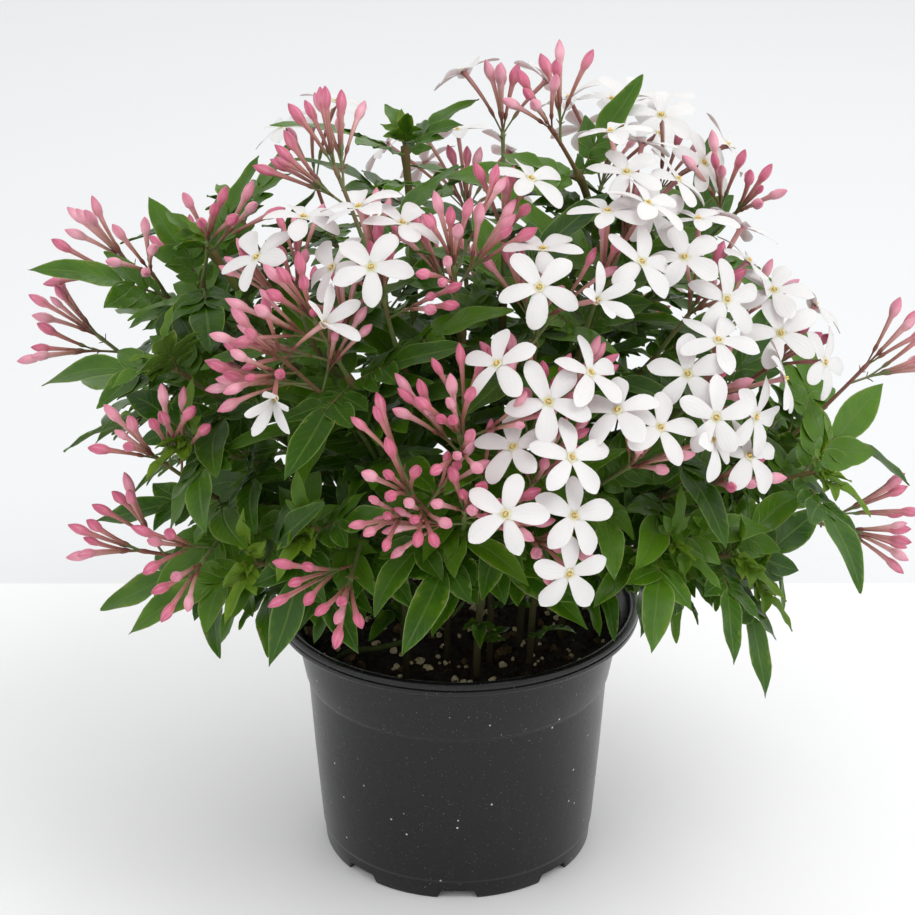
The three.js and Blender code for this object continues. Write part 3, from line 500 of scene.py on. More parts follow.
def grow_vine(index, vine):
    corners = Corners(f"vine_{index + 1:02d}")
    draw = Draws(LEAF_SEED + index)
    stems = stems_of(vine)
    for stem in stems:
        stem["frames"] = carried_frames(stem["path"])
        stem["leaves"] = grow_leaves(corners, stem, stem["frames"], draw)
    return stems


# ------------------------------------------------------------------ meshes


RIM_ANGLE = 80  # between the two faces of a blade, whose rim stays crisp


class Skin:
    """A mesh in the making: closed lofted skins, each with its finish and its shape coordinates.

    The shape coordinates are what the materials read: along the piece, across it, and a tone.
    """

    def __init__(self):
        self.points, self.shape, self.quads, self.triangles = [], [], [], []
        self.quad_slots, self.triangle_slots = [], []
        self.count = 0

    def add_points(self, points, shape):
        points = np.asarray(points, float).reshape(-1, 3)
        first = self.count
        self.points.append(points)
        self.shape.append(np.broadcast_to(np.asarray(shape, float).reshape(-1, 3), points.shape))
        self.count += len(points)
        return first

    def loft(self, rings, shape, slots, start, end):
        """Closed skin through rings (n, m, 3), ended by two points. slots is one, or one per side."""
        n, m, _ = rings.shape
        base = self.add_points(rings, shape)
        grid = base + np.arange(n * m).reshape(n, m)
        after = np.roll(grid, -1, axis=1)
        sides = np.broadcast_to(np.asarray(slots), (n - 1, m))
        self.quads.append(np.stack([grid[:-1], after[:-1], after[1:], grid[1:]], axis=-1).reshape(-1, 4))
        self.quad_slots.append(sides.reshape(-1))
        shape = np.asarray(shape, float).reshape(n, m, 3)
        ends = self.add_points([start, end], [shape[0].mean(0), shape[-1].mean(0)])
        low = np.stack([after[0], grid[0], np.full(m, ends)], axis=-1)
        high = np.stack([grid[-1], after[-1], np.full(m, ends + 1)], axis=-1)
        self.triangles.append(np.concatenate([low, high]))
        self.triangle_slots.append(np.concatenate([sides[0], sides[-1]]))

    def piece(self, name, materials):
        """The Blender object, in metres."""
        points = np.concatenate(self.points) * MM
        quads, triangles = np.concatenate(self.quads), np.concatenate(self.triangles)
        loops = np.concatenate([quads.ravel(), triangles.ravel()])
        starts = np.concatenate([
            np.arange(len(quads)) * 4,
            len(quads) * 4 + np.arange(len(triangles)) * 3,
        ])
        slots = np.concatenate([*self.quad_slots, *self.triangle_slots])
        mesh = bpy.data.meshes.new(name)
        mesh.vertices.add(len(points))
        mesh.vertices.foreach_set("co", points.astype(np.float32).ravel())
        mesh.loops.add(len(loops))
        mesh.loops.foreach_set("vertex_index", loops.astype(np.int32))
        mesh.polygons.add(len(starts))
        mesh.polygons.foreach_set("loop_start", starts.astype(np.int32))
        mesh.update(calc_edges=True)
        mesh.polygons.foreach_set("material_index", slots.astype(np.int32))
        mesh.polygons.foreach_set("use_smooth", np.ones(len(starts), bool))
        shape = mesh.attributes.new("shape", "FLOAT_VECTOR", "POINT")
        shape.data.foreach_set("vector", np.concatenate(self.shape).astype(np.float32).ravel())
        mesh.update()
        mesh.set_sharp_from_angle(angle=math.radians(RIM_ANGLE))
        for made in materials:
            mesh.materials.append(made)
        piece = bpy.data.objects.new(name, mesh)
        bpy.context.scene.collection.objects.link(piece)
        return piece


def rings_about(centres, axis, first, radii, sides, lobes=0.0, twist=0.0):
    """Rings of points about centres along a nearly straight line. Lobes press in every other point."""
    second = np.cross(axis, first)
    turns = np.arange(sides) * 2 * math.pi / sides
    turns = turns[None, :] + np.broadcast_to(np.asarray(twist, float), (len(centres),))[:, None]
    press = 1 - np.broadcast_to(np.asarray(lobes, float), (len(centres),))[:, None] * (np.arange(sides) % 2)
    r = np.asarray(radii)[:, None] * press
    return (
        centres[:, None, :]
        + (r * np.cos(turns))[..., None] * first
        + (r * np.sin(turns))[..., None] * second
    )


def shape_grid(along, crosswise, tone):
    """Shape coordinates of the points of a skin's rings."""
    shape = np.empty((len(along), len(crosswise), 3))
    shape[..., 0] = np.asarray(along)[:, None]
    shape[..., 1] = crosswise
    shape[..., 2] = tone
    return shape


def tube_shape(along, sides, tone):
    return shape_grid(along, np.arange(sides) / sides, tone)


def curved_tube(skin, points, firsts, radii, along, sides, slot, tone):
    """Round skin along a curve, with a carried sideways direction at each point."""
    rings = []
    for i, (point, first) in enumerate(zip(points, firsts)):
        ahead = points[min(i + 1, len(points) - 1)] - points[max(i - 1, 0)]
        rings.append(rings_about(point[None], unit(ahead), first, [radii[i]], sides)[0])
    start = points[0] - unit(points[1] - points[0]) * 0.2
    end = points[-1] + unit(points[-1] - points[-2]) * 0.3 * radii[-1]
    skin.loft(np.array(rings), tube_shape(along, sides, tone), slot, start, end)


# ------------------------------------------------------------------ flowers and buds

STALK, TUBE, BUD, PETAL_FACE, PETAL_BACK, THROAT, ANTHER, BRACT = range(8)

# From the root: share of the length up to the head, radius, and the shade along the piece.
PEDICEL = [
    (0.0, 0.48, 0.0), (0.12, 0.36, 0.06), (0.28, 0.38, 0.13), (0.32, 0.56, 0.16), (0.36, 0.80, 0.19),
    (0.42, 0.86, 0.23), (0.44, 0.76, 0.25), (0.47, 0.66, 0.28),
]
BUD_TUBE = [(0.62, 0.72, 0.36), (0.8, 0.86, 0.46), (0.93, 0.98, 0.54), (1.0, 1.08, 0.6)]
# From the neck: share of the head, share of its radius, shade.
BUD_OUTLINE = [
    (0.10, 0.56, 0.66), (0.22, 0.80, 0.71), (0.36, 0.95, 0.77), (0.50, 1.0, 0.82), (0.64, 0.90, 0.87),
    (0.77, 0.70, 0.92), (0.88, 0.43, 0.96), (0.96, 0.18, 0.99),
]
BUD_RADIUS = 2.2
HEAD_SHARE = 0.86  # of the head in the source, which starts lower on the tube
BUD_SIDES = 8
BUD_LOBES = 0.07
BUD_TWIST = 1.1
BUD_BOW = (0.4, 1.3)
BUD_PLUMPNESS = (0.92, 1.06)


def bowed_line(piece, distance, bow):
    """Points at distances along a bud or a bloom, bowed away from its stalk's line."""
    axis = piece["direction"]
    aside = unit(piece["axis"] - axis * (piece["axis"] @ axis) + 1e-6) * bow
    sag = np.sin(math.pi * distance / piece["reach"])
    return piece["root"] + np.outer(distance, axis) + np.outer(sag, aside)


def tube_slots(rows):
    """The finish of each stretch between rows: pedicel and calyx, tube, head."""
    stretch = np.arange(len(rows) - 1)
    head = np.where(stretch < len(PEDICEL + BUD_TUBE) - 1, TUBE, BUD)
    return np.where(stretch < len(PEDICEL) - 1, STALK, head)[:, None]


def draw_bud(skin, bud, rng):
    """Pedicel, calyx, slender tube and pointed head, twisted as its petals are rolled."""
    axis, size = bud["direction"], bud["size"]
    head = BUD_HEAD * HEAD_SHARE * size
    neck = bud["reach"] - head
    rows = [(s * neck, r * size**0.5, u, 0, 0) for s, r, u in PEDICEL + BUD_TUBE]
    plump = BUD_RADIUS * size * rng.uniform(*BUD_PLUMPNESS)
    rows += [(neck + s * head, r * plump, u, BUD_LOBES, s * BUD_TWIST) for s, r, u in BUD_OUTLINE]
    distance, radii, along, lobes, twist = np.array(rows).T
    centres = bowed_line(bud, distance, rng.uniform(*BUD_BOW))
    twist = twist + rng.uniform(0, 1)
    rings = rings_about(centres, axis, across(axis)[0], radii, BUD_SIDES, lobes, twist)
    shape = tube_shape(along, BUD_SIDES, rng.uniform(0, 1))
    skin.loft(rings, shape, tube_slots(rows), bud["root"], bud["root"] + axis * bud["reach"])


# Of a petal from its heart to its tip: share of its length, share of its half width.
PETAL_ROWS = np.array([0.0, 0.07, 0.16, 0.28, 0.42, 0.56, 0.7, 0.82, 0.92, 0.975])
PETAL_WIDTHS = np.array([0.44, 0.50, 0.60, 0.75, 0.90, 0.99, 0.98, 0.84, 0.54, 0.24])
PETAL_START = 0.9
PETAL_HALF_WIDTH = 3.85
PETAL_ARCH = 0.9
PETAL_RIPPLE = 0.32
PETAL_THICKNESS = 0.16
PETAL_GROOVE = 0.22
NARROWEST_CUP = 150  # degrees at which a petal would have folded to nothing
# What each petal draws: degrees of swing and cup, shares of its size, and millimetres at its tip.
PETAL_DRAWS = {
    "swing": (-3, 3), "cup": (-9, 7), "length": (0.98, 1.08), "breadth": (0.88, 1.06),
    "taper": (0.8, 1.25), "droop": (-0.4, 2.2), "twist": (0.0, 0.4), "bend": (-1.3, 1.3),
    "wave": (0, 2 * math.pi), "hollow": (-0.3, 1.1),
}
# Round a blade from edge to edge and back: share of the half width, and which face is up.
ACROSS = np.array([1.0, 0.5, 0.0, -0.5, -1.0, -0.5, 0.0, 0.5])
FACE = np.array([0, 1, 1, 1, 0, -1, -1, -1])
FACE_AND_BACK = np.array([PETAL_FACE] * 4 + [PETAL_BACK] * 4)


def blade_width(along, rise, fall):
    """Half width of a blade along its length, 1 at its widest."""
    widest = rise / (rise + fall)
    return along**rise * (1 - along) ** fall / (widest**rise * (1 - widest) ** fall)


def draw_petal(skin, bloom, petal, tone, rng):
    own = drawn(rng, PETAL_DRAWS)
    t = math.radians(bloom["spin"] + petal * 360 / PETALS + own.swing)
    second = np.cross(bloom["direction"], bloom["level"])
    outward = bloom["level"] * math.cos(t) + second * math.sin(t)
    cup = math.radians(bloom["cup"] + own.cup)
    along = outward * math.cos(cup) + bloom["direction"] * math.sin(cup)
    above = bloom["direction"] * math.cos(cup) - outward * math.sin(cup)
    side = np.cross(above, along)
    reach = PETAL_START + PETAL_ROWS * (PETAL_REACH - PETAL_START) * own.length
    fold = 1 - bloom["cup"] / NARROWEST_CUP
    width = PETAL_HALF_WIDTH * fold * own.breadth * PETAL_WIDTHS**own.taper
    rise = PETAL_ARCH * np.sin(math.pi * PETAL_ROWS) - own.droop * PETAL_ROWS**2
    twist = own.twist * PETAL_ROWS
    bend = own.bend * PETAL_ROWS**2
    v = ACROSS[None, :]
    ripple = PETAL_RIPPLE * np.sin(PETAL_ROWS[:, None] * 7 + own.wave + 1.4 * v) * np.abs(v)
    lift = (
        rise[:, None]
        + own.hollow * v**2 * (width[:, None] / PETAL_HALF_WIDTH)
        + twist[:, None] * v * width[:, None]
        + ripple * PETAL_ROWS[:, None]
        + FACE * PETAL_THICKNESS * (1 - v**2)
        - PETAL_GROOVE * (v == 0) * (1 - PETAL_ROWS[:, None])
    )
    sideways = v * width[:, None] + bend[:, None]
    rings = placed(bloom["centre"], along, side, above, reach[:, None], sideways, lift)
    end = bloom["centre"] + along * (reach[-1] + 0.3) + side * bend[-1] + above * rise[-1]
    skin.loft(rings, shape_grid(PETAL_ROWS, ACROSS, tone), FACE_AND_BACK, rings[0].mean(0), end)


# From the bloom's centre: height, radius, shade.
THROAT_OUTLINE = [(-2.6, 0.98, 0.54), (-1.3, 1.25, 0.58), (-0.4, 1.7, 0.6)]
MOUTH = [(0.15, 1.75, 0), (0.62, 1.45, 0.3), (0.5, 1.0, 0.7), (-0.2, 0.6, 1)]
ANTHER_OUTLINE = [(0, 0.2, 0), (0.35, 0.42, 0.3), (0.9, 0.42, 0.7), (1.4, 0.2, 1)]
ANTHER_SIDES = 6
ANTHER_PLACE = (0.4, 0.2)  # beside the bloom's centre, and above it
ANTHER_TOP = 1.55
THROAT_DEPTH = 0.9
THROAT_LENGTH = 4
BLOOM_BOW = 1.5


def draw_round(skin, centre, axis, first, outline, sides, slot, tone, ends):
    """A round skin about an axis, ended at two heights."""
    height, radii, along = np.array(outline).T
    rings = rings_about(centre + np.outer(height, axis), axis, first, radii, sides)
    low, high = (centre + axis * end for end in ends)
    skin.loft(rings, tube_shape(along, sides, tone), slot, low, high)


def draw_bloom(skin, bloom, rng):
    """Tube, throat, two anthers and five petals."""
    axis, centre, reach = bloom["direction"], bloom["centre"], bloom["reach"]
    tone = rng.uniform(0, 1)
    rows = [(s * (reach - THROAT_LENGTH), r, u) for s, r, u in PEDICEL + BUD_TUBE[:3]]
    rows += [(reach + z, r, u) for z, r, u in THROAT_OUTLINE]
    distance, radii, along = np.array(rows).T
    centres = bowed_line(bloom, distance, min(BLOOM_BOW, reach * 0.04))
    rings = rings_about(centres, axis, across(axis)[0], radii, BUD_SIDES)
    slots = np.minimum(tube_slots(rows), TUBE)
    skin.loft(rings, tube_shape(along, BUD_SIDES, tone), slots, bloom["root"], centre - axis * 0.3)
    draw_round(skin, centre, axis, bloom["level"], MOUTH, BUD_SIDES, THROAT, tone, (0, -THROAT_DEPTH))
    beside, above = ANTHER_PLACE
    ends = (0, ANTHER_TOP)
    for hand in (1, -1):
        base = centre + bloom["level"] * beside * hand + axis * above
        draw_round(skin, base, axis, bloom["level"], ANTHER_OUTLINE, ANTHER_SIDES, ANTHER, tone, ends)
    for petal in range(PETALS):
        draw_petal(skin, bloom, petal, tone, rng)


# Along a stalk: share of its length, share of its radius. A pair of bracts stands at one of the rows.
STALK_ROWS = [(-0.04, 1.15), (0.0, 1.1), (0.3, 0.95), (0.6, 0.88), (0.88, 0.9), (0.97, 1.15), (1.06, 0.9)]
STALK_SIDES = 8
STALK_BOW = (-0.02, 0.02)
BRACT_ROW = 4
BRACT_TILT = 42
BRACT_LENGTHS = (2.6, 4.4)
# Along a bract: share of its length, share of its half width.
BRACT_ROWS = [(0.0, 0.8), (0.25, 1.0), (0.55, 0.8), (0.85, 0.35)]
BRACT_WIDTH = 0.13
BRACT_DROOP = 0.12
BRACT_THICKNESS = 0.12
BRACT_HOLLOW = 0.2


def draw_stalk(skin, stalk, rng):
    """A rachis or cyme stalk, with a pair of narrow bracts at its end."""
    axis, length, radius = stalk["axis"], stalk["length"], stalk["radius"]
    first = across(axis)[0]
    share, thick = np.array(STALK_ROWS).T
    bow = first * rng.uniform(*STALK_BOW) * length
    sag = np.sin(math.pi * share.clip(0, 1))
    centres = stalk["root"] + np.outer(share * length, axis) + np.outer(sag, bow)
    rings = rings_about(centres, axis, first, radius * thick, STALK_SIDES)
    tone = rng.uniform(0, 1)
    end = stalk["root"] + axis * (length * share[-1] + 0.6)
    skin.loft(rings, tube_shape(share * 0.1, STALK_SIDES, tone), STALK, centres[0] - axis * 0.3, end)
    turn = rng.uniform(0, 360)
    for hand in (0, 180):
        direction = leaning(axis, BRACT_TILT, turn + hand)
        draw_bract(skin, centres[BRACT_ROW], direction, axis, rng.uniform(*BRACT_LENGTHS), tone)


def draw_bract(skin, root, direction, upper, length, tone):
    """A narrow scale leaf."""
    rows, breadth = np.array(BRACT_ROWS).T
    side = unit(np.cross(upper, direction))
    above = np.cross(direction, side)
    width = length * BRACT_WIDTH * breadth
    v = ACROSS[None, :]
    droop = BRACT_DROOP * length * rows[:, None] ** 2
    lift = FACE * BRACT_THICKNESS * (1 - v**2) + BRACT_HOLLOW * v**2 - droop
    rings = placed(root, direction, side, above, (rows * length)[:, None], v * width[:, None], lift)
    end = root + direction * length - above * BRACT_DROOP * length
    skin.loft(rings, shape_grid(rows, ACROSS, tone), BRACT, root, end)


# ------------------------------------------------------------------ leaves and stems

STEM, LEAF_TOP, LEAF_UNDER, YOUNG_LEAF, LEAF_STALK = range(5)

SIDE_ROWS = np.array([0.0, 0.06, 0.16, 0.3, 0.45, 0.6, 0.75, 0.88, 0.96])
END_ROWS = np.array([0.0, 0.05, 0.12, 0.21, 0.32, 0.43, 0.54, 0.65, 0.76, 0.86, 0.94, 0.98])
# Leaflets of a compound leaf: distance along the rachis, length, half width, angle from the rachis.
SIDE_LEAFLETS = [(4.5, 10.5, 3.3, 62), (9.5, 14.5, 4.3, 58), (PETIOLE + 0.5, 18.5, 5.1, 52)]
END_HALF_WIDTH = 6.3
LEAFLET_FOOT = 0.35  # least half width, where a leaflet meets its stalk
LEAFLET_THICKNESS = 0.22
LEAFLET_RIPPLE = 0.05
RIPPLE_RELIEF = 2.2
# What each leaflet draws: shares of its length and width, and the run and start of its ripple.
LEAFLET_DRAWS = {
    "sickle": (-0.07, 0.07), "fold": (0.16, 0.34), "run": (9, 13), "start": (0, 6),
    "twist": (-0.16, 0.16), "droop": (0.0, 0.09),
}


def draw_leaflet(skin, leaf, rows, base, length, half_width, angle, tone, rng, slots):
    """One thin arched leaflet with its midrib sunk and its tip drawn out."""
    own = drawn(rng, LEAFLET_DRAWS)
    turn = math.radians(angle)
    ahead, aside = math.cos(turn), math.sin(turn)
    u, v = rows[:, None], ACROSS[None, :]
    width = half_width * blade_width(rows, 0.74, 1.05)[:, None]
    width = np.maximum(width, LEAFLET_FOOT * (1 - u))
    line = u * length
    shift = own.sickle * length * np.sin(math.pi * u) + v * width
    forward = base + line * ahead - shift * aside
    sideways = line * aside + shift * ahead
    ripple = LEAFLET_RIPPLE * half_width * np.sin(u * own.run + own.start + 1.2 * v) * np.abs(v)
    lift = (
        own.fold * np.abs(v) * width
        + ripple * RIPPLE_RELIEF
        + own.twist * v * width
        - own.droop * length * u**2
        + FACE * LEAFLET_THICKNESS * (1 - 0.8 * v**2)
    )
    rings = leaf_place(leaf, forward, sideways, lift)
    tip = leaf_place(leaf, base + length * ahead, length * aside, lift[-1].mean() - 0.05)
    skin.loft(rings, shape_grid(rows, ACROSS, tone), slots, rings[0].mean(0), tip)


TOP_AND_UNDER = np.array([LEAF_TOP] * 4 + [LEAF_UNDER] * 4)
# Along the stalk of a leaf of full size: distance, radius.
PETIOLE_ROWS = [
    (-1.0, 0.8), (2.0, 0.55), (6.0, 0.5), (10.0, 0.48), (PETIOLE, 0.45), (PETIOLE + END_PETIOLE + 0.5, 0.35),
]
END_LENGTHS = (0.94, 1.0)
END_BREADTHS = (0.9, 1.04)
SIDE_DRAWS = {"scale": (0.86, 1.06), "shift": (-0.6, 0.6), "turn": (-7, 7)}


def draw_leaf(skin, leaf, rng):
    """Petiole and rachis with up to three pairs of side leaflets and the long end leaflet."""
    tone = rng.uniform(0, 1)
    forward, thick = np.array(PETIOLE_ROWS).T
    radii = thick * leaf["size"] ** 0.5
    centres = leaf_place(leaf, forward, 0, 0)
    side = unit(np.cross(leaf["upper"], leaf["direction"]))
    curved_tube(skin, centres, [side] * len(centres), radii, forward / 20, 6, LEAF_STALK, tone)
    slots = YOUNG_LEAF if leaf.get("young") else TOP_AND_UNDER
    end = END_LEAFLET * rng.uniform(*END_LENGTHS)
    width = END_HALF_WIDTH * rng.uniform(*END_BREADTHS)
    draw_leaflet(skin, leaf, END_ROWS, PETIOLE + END_PETIOLE - 0.4, end, width, 0, tone, rng, slots)
    for base, length, width, angle in SIDE_LEAFLETS[leaf.get("bare", 0):]:
        for hand in (1, -1):
            own = drawn(rng, SIDE_DRAWS)
            size = (length * own.scale, width * own.scale)
            turn = hand * (angle + own.turn)
            draw_leaflet(skin, leaf, SIDE_ROWS, base + own.shift, *size, turn, tone, rng, slots)


STEM_STEP = 5  # between the rings of a stem
THICK_STEM = 1.5  # radius from which it has more sides
KNOTS = 6
KNOT_LENGTH = 2.4
KNOT_SWELL = 0.16
WANDER = 0.5
WANDER_LENGTH = 17


def draw_stem(skin, stem, rng):
    """A stem's tube, a little swollen where its leaves stand; a branch thinner towards its end, a main stem
    thinner at its foot.
    """
    path, radius = stem["path"], stem["radius"]
    count = max(int(path.span / STEM_STEP), 6)
    ts = np.linspace(0, 1, count + 1)
    points = np.array([path.point(t) for t in ts])
    firsts = [stem["frames"](t)[2] for t in ts]
    taper = 0.68 + 0.1 * ts if stem["from"] == 0 else 1.0 - 0.2 * ts
    knots = [1 - (TIP_TO_LEAVES + LEAF_PITCH * k) / path.span for k in range(KNOTS)]
    swell = sum(np.exp(-(((ts - k) * path.span) / KNOT_LENGTH) ** 2) for k in knots if k > 0.1)
    radii = radius * (taper + KNOT_SWELL * swell)
    wander = np.sin(ts * path.span / WANDER_LENGTH + rng.uniform(0, 6)) * np.sin(math.pi * ts) * WANDER
    points = points + np.array(firsts) * wander[:, None]
    along = stem["from"] + (1 - stem["from"]) * ts
    sides = 10 if radius > THICK_STEM else 8
    curved_tube(skin, points, firsts, radii, along, sides, STEM, rng.uniform(0, 1))


# A shoot that creeps over the soil, by the points that it passes.
RUNNER = np.array([
    (-57, -31, 95), (-47, -28, 100.3), (-31, -27, 102.3), (-16, -25.5, 106.5), (-3, -23, 114), (6, -19, 125),
    (12, -13, 138),
])
RUNNER_VINE = 3
RUNNER_RADII = (1.3, 0.9)
RUNNER_AGES = (0.25, 0.75)
RUNNER_STEPS = 6


def draw_runner(skin, rng):
    """A shoot that creeps over the soil before it climbs."""
    points = [RUNNER[0]]
    for before, start, end, after in zip(RUNNER, RUNNER[1:], RUNNER[2:], RUNNER[3:]):
        for t in np.linspace(0, 1, RUNNER_STEPS)[1:]:
            points.append(0.5 * (
                2 * start + (end - before) * t + (2 * before - 5 * start + 4 * end - after) * t**2
                + (3 * start - before - 3 * end + after) * t**3
            ))
    radii = np.linspace(*RUNNER_RADII, len(points))
    age = np.linspace(*RUNNER_AGES, len(points))
    curved_tube(skin, points, [UP] * len(points), radii, age, 10, STEM, rng.uniform(0, 1))


def small_leaf(point, direction, upper, size, **more):
    return {"root": point, "direction": direction, "upper": upper, "size": size, **more}


YOUNG_LEAVES = ((0.55, 42), (0.5, 38), (0.34, 16))  # size and tilt
YOUNG_LIFT = 0.8
YOUNG_TURN = 170
YOUNG_SWING = (-15, 15)


def draw_shoot_tip(skin, stem, rng):
    """Young leaves, folded forward, at the end of a shoot that carries no flowers."""
    point, tangent, first = stem["frames"](1.0)
    upper = unit(tangent + UP * YOUNG_LIFT)
    for k, (size, tilt) in enumerate(YOUNG_LEAVES):
        direction = leaning_from(tangent, first, tilt, 100 + YOUNG_TURN * k + rng.uniform(*YOUNG_SWING))
        draw_leaf(skin, small_leaf(point - tangent * 1.0, direction, upper, size, young=True, bare=1), rng)


def draw_vine(skin, stems, rng):
    for stem in stems:
        draw_stem(skin, stem, rng)
        for leaf in stem["leaves"]:
            draw_leaf(skin, leaf, rng)
        if stem["spray"] is None:
            draw_shoot_tip(skin, stem, rng)


# ------------------------------------------------------------------ pot and soil

POT_SIDES = 144
POT_CREASE = 38  # degrees from which an edge is sharp
RING_LINE = 9.0
# Outside from the foot up, over the rolled lip and down the inside: radius and height.
POT_OUTLINE = [
    (CENTRE_PAD_RADIUS - 0.6, 0.0), (CENTRE_PAD_RADIUS, 0.2), (CENTRE_PAD_RADIUS + 1.8, 1.8),
    (CENTRE_PAD_RADIUS + 2.6, FLOOR_LIFT), (FOOT_RING_INNER - 0.4, FLOOR_LIFT), (FOOT_RING_INNER + 0.3, 1.5),
    (FOOT_RING_INNER + 0.9, 0.2), (FOOT_RING_INNER + 1.4, 0.0), (FOOT_RADIUS - 0.9, 0.0),
    (FOOT_RADIUS - 0.25, 0.25), (FOOT_RADIUS + 0.05, 0.9), (FOOT_RADIUS + 0.55, RING_LINE - 1.4),
    (FOOT_RADIUS + 0.7, RING_LINE - 0.5), (FOOT_RADIUS + 1.05, RING_LINE),
    (FOOT_RADIUS + 1.2, RING_LINE + 0.8),
    (60.9, 45.0), (63.0, COLLAR_FOOT - 2.2), (63.15, 78.8), (63.5, 79.5), (63.95, 79.9), (64.2, 80.7),
    (66.3, 92.0), (68.1, 101.5), (68.4, 103.0), (69.0, 104.1), (70.2, 104.7), (73.6, 105.4), (75.0, 105.9),
    (75.7, 106.6), (75.95, 107.4), (75.95, 108.5), (75.45, 108.9), (75.9, 109.4), (75.95, 110.1),
    (75.7, 111.0), (75.2, 111.7), (74.4, POT_HEIGHT), (73.6, 111.9), (72.7, 111.4), (72.1, 110.6),
    (71.6, 109.2), (70.6, 107.4), (68.6, 105.6), (67.3, 104.3), (66.8, 102.8), (66.4, 101.0), (62.2, 80.9),
    (61.8, 79.8), (61.5, 78.6), (56.3, 5.0), (55.2, 3.9), (53.5, FLOOR_TOP),
]


def mesh_object(name, points, faces):
    mesh = bpy.data.meshes.new(name)
    mesh.from_pydata([tuple(p) for p in np.asarray(points) * MM], [], faces)
    mesh.update()
    made = bpy.data.objects.new(name, mesh)
    bpy.context.scene.collection.objects.link(made)
    return made


def turned_points(outline, sides):
    turns = np.arange(sides) * 2 * math.pi / sides
    return [(r * math.cos(t), r * math.sin(t), z) for r, z in outline for t in turns]


def turned_faces(rows, sides):
    """Faces between rings of points, then fans from the first and the last to two further points."""
    faces = []
    for row in range(rows - 1):
        for i in range(sides):
            here, beside = row * sides + i, row * sides + (i + 1) % sides
            faces.append((here, beside, beside + sides, here + sides))
    last, bottom = (rows - 1) * sides, rows * sides
    for i in range(sides):
        j = (i + 1) % sides
        faces.append((bottom, j, i))
        faces.append((last + i, last + j, bottom + 1))
    return faces


def smooth(mesh):
    mesh.polygons.foreach_set("use_smooth", np.ones(len(mesh.polygons), bool))


NOTCH_CORNER = 1.6
NOTCH_STEPS = 6
NOTCH_ARC = 15  # degrees from one point of a corner to the next


def notch_cutter():
    """The drainage notches, with rounded corners, as one body to cut away."""
    half, corner = NOTCH_WIDTH / 2, NOTCH_CORNER
    outline = [(-half, -1.0), (half, -1.0), (half - 0.2, 0.4)]
    for k in range(NOTCH_STEPS):
        a = math.radians(NOTCH_ARC * (1 + k))
        centre = (half - NOTCH_SLOPE - corner + 0.3, NOTCH_HEIGHT - corner)
        outline.append((centre[0] + corner * math.cos(a), centre[1] + corner * math.sin(a)))
    outline += [(-x, z) for x, z in reversed(outline[3:])] + [(-half + 0.2, 0.4)]
    points, faces = [], []
    count = len(outline)
    for i in range(NOTCHES):
        turn = i * 2 * math.pi / NOTCHES
        c, s = math.cos(turn), math.sin(turn)
        base = len(points)
        for depth in (FOOT_RING_INNER - 1.5, FOOT_RADIUS + 6):
            points += [(x * c + depth * s, x * s - depth * c, z) for x, z in outline]
        faces.append(tuple(base + count - 1 - k for k in range(count)))
        faces.append(tuple(base + count + k for k in range(count)))
        for k in range(count):
            n = (k + 1) % count
            faces.append((base + k, base + n, base + count + n, base + count + k))
    return mesh_object("notch_cutter", points, faces)


def outward(made):
    mesh = bmesh.new()
    mesh.from_mesh(made.data)
    bmesh.ops.recalc_face_normals(mesh, faces=mesh.faces)
    mesh.to_mesh(made.data)
    mesh.free()


def make_pot():
    points = turned_points(POT_OUTLINE, POT_SIDES) + [(0, 0, 0), (0, 0, FLOOR_TOP)]
    pot = mesh_object("nursery_pot", points, turned_faces(len(POT_OUTLINE), POT_SIDES))
    cutter = notch_cutter()
    for made in (pot, cutter):
        outward(made)
    cut = pot.modifiers.new("notches", "BOOLEAN")
    cut.operation = "DIFFERENCE"
    cut.object = cutter
    cut.solver = "EXACT"
    shaped = bpy.data.meshes.new_from_object(pot.evaluated_get(bpy.context.evaluated_depsgraph_get()))
    pot.modifiers.clear()
    pot.data = shaped
    bpy.data.objects.remove(cutter)
    smooth(shaped)
    shaped.set_sharp_from_angle(angle=math.radians(POT_CREASE))
    return pot


SOIL_EDGE = 65.3
SOIL_RINGS = 60
SOIL_SIDES = 170
RING_SPREAD = 0.8  # under 1, so that the rings stand closer towards the edge
# Under its top, radius and height.
SOIL_OUTLINE = [(54.8, FLOOR_TOP + 0.5), (61.0, COLLAR_FOOT), (SOIL_EDGE - 1.4, SOIL_LEVEL - 6)]
# Height, fineness and place in the noise of each relief on the soil, and how far all of it is sunk.
CLODS = (1.5, 0.11, 3.7)
LUMPS = (1.0, 0.33, 9.1)
CRUMBS = (0.45, 1.1, 1.3)
RELIEF_SINK = 0.6


def relief(x, y, height, fineness, layer):
    return height * noise.noise(Vector((x * fineness, y * fineness, layer)))


def soil_height(x, y):
    """The source's gentle waves, with clods and crumbs on them."""
    waves = SOIL_LEVEL + 1.2 * math.sin(x * 0.09 + 1) * math.cos(y * 0.11) - 0.8 * math.sin((x - y) * 0.05)
    return waves + relief(x, y, *CLODS) + abs(relief(x, y, *LUMPS)) + relief(x, y, *CRUMBS) - RELIEF_SINK


def make_soil():
    """The bed of the pot, crumbled on top, and plain down to the pot's floor."""
    radii = SOIL_EDGE * (1 - np.arange(SOIL_RINGS) / SOIL_RINGS) ** RING_SPREAD
    top = turned_points([(r, SOIL_LEVEL) for r in radii], SOIL_SIDES) + [(0, 0, SOIL_LEVEL)]
    top = [(x, y, soil_height(x, y)) for x, y, _ in top]
    points = turned_points(SOIL_OUTLINE, SOIL_SIDES) + top[:-1] + [(0, 0, FLOOR_TOP + 0.5), top[-1]]
    made = mesh_object("potting_soil", points, turned_faces(len(SOIL_OUTLINE) + SOIL_RINGS, SOIL_SIDES))
    smooth(made.data)
    return made


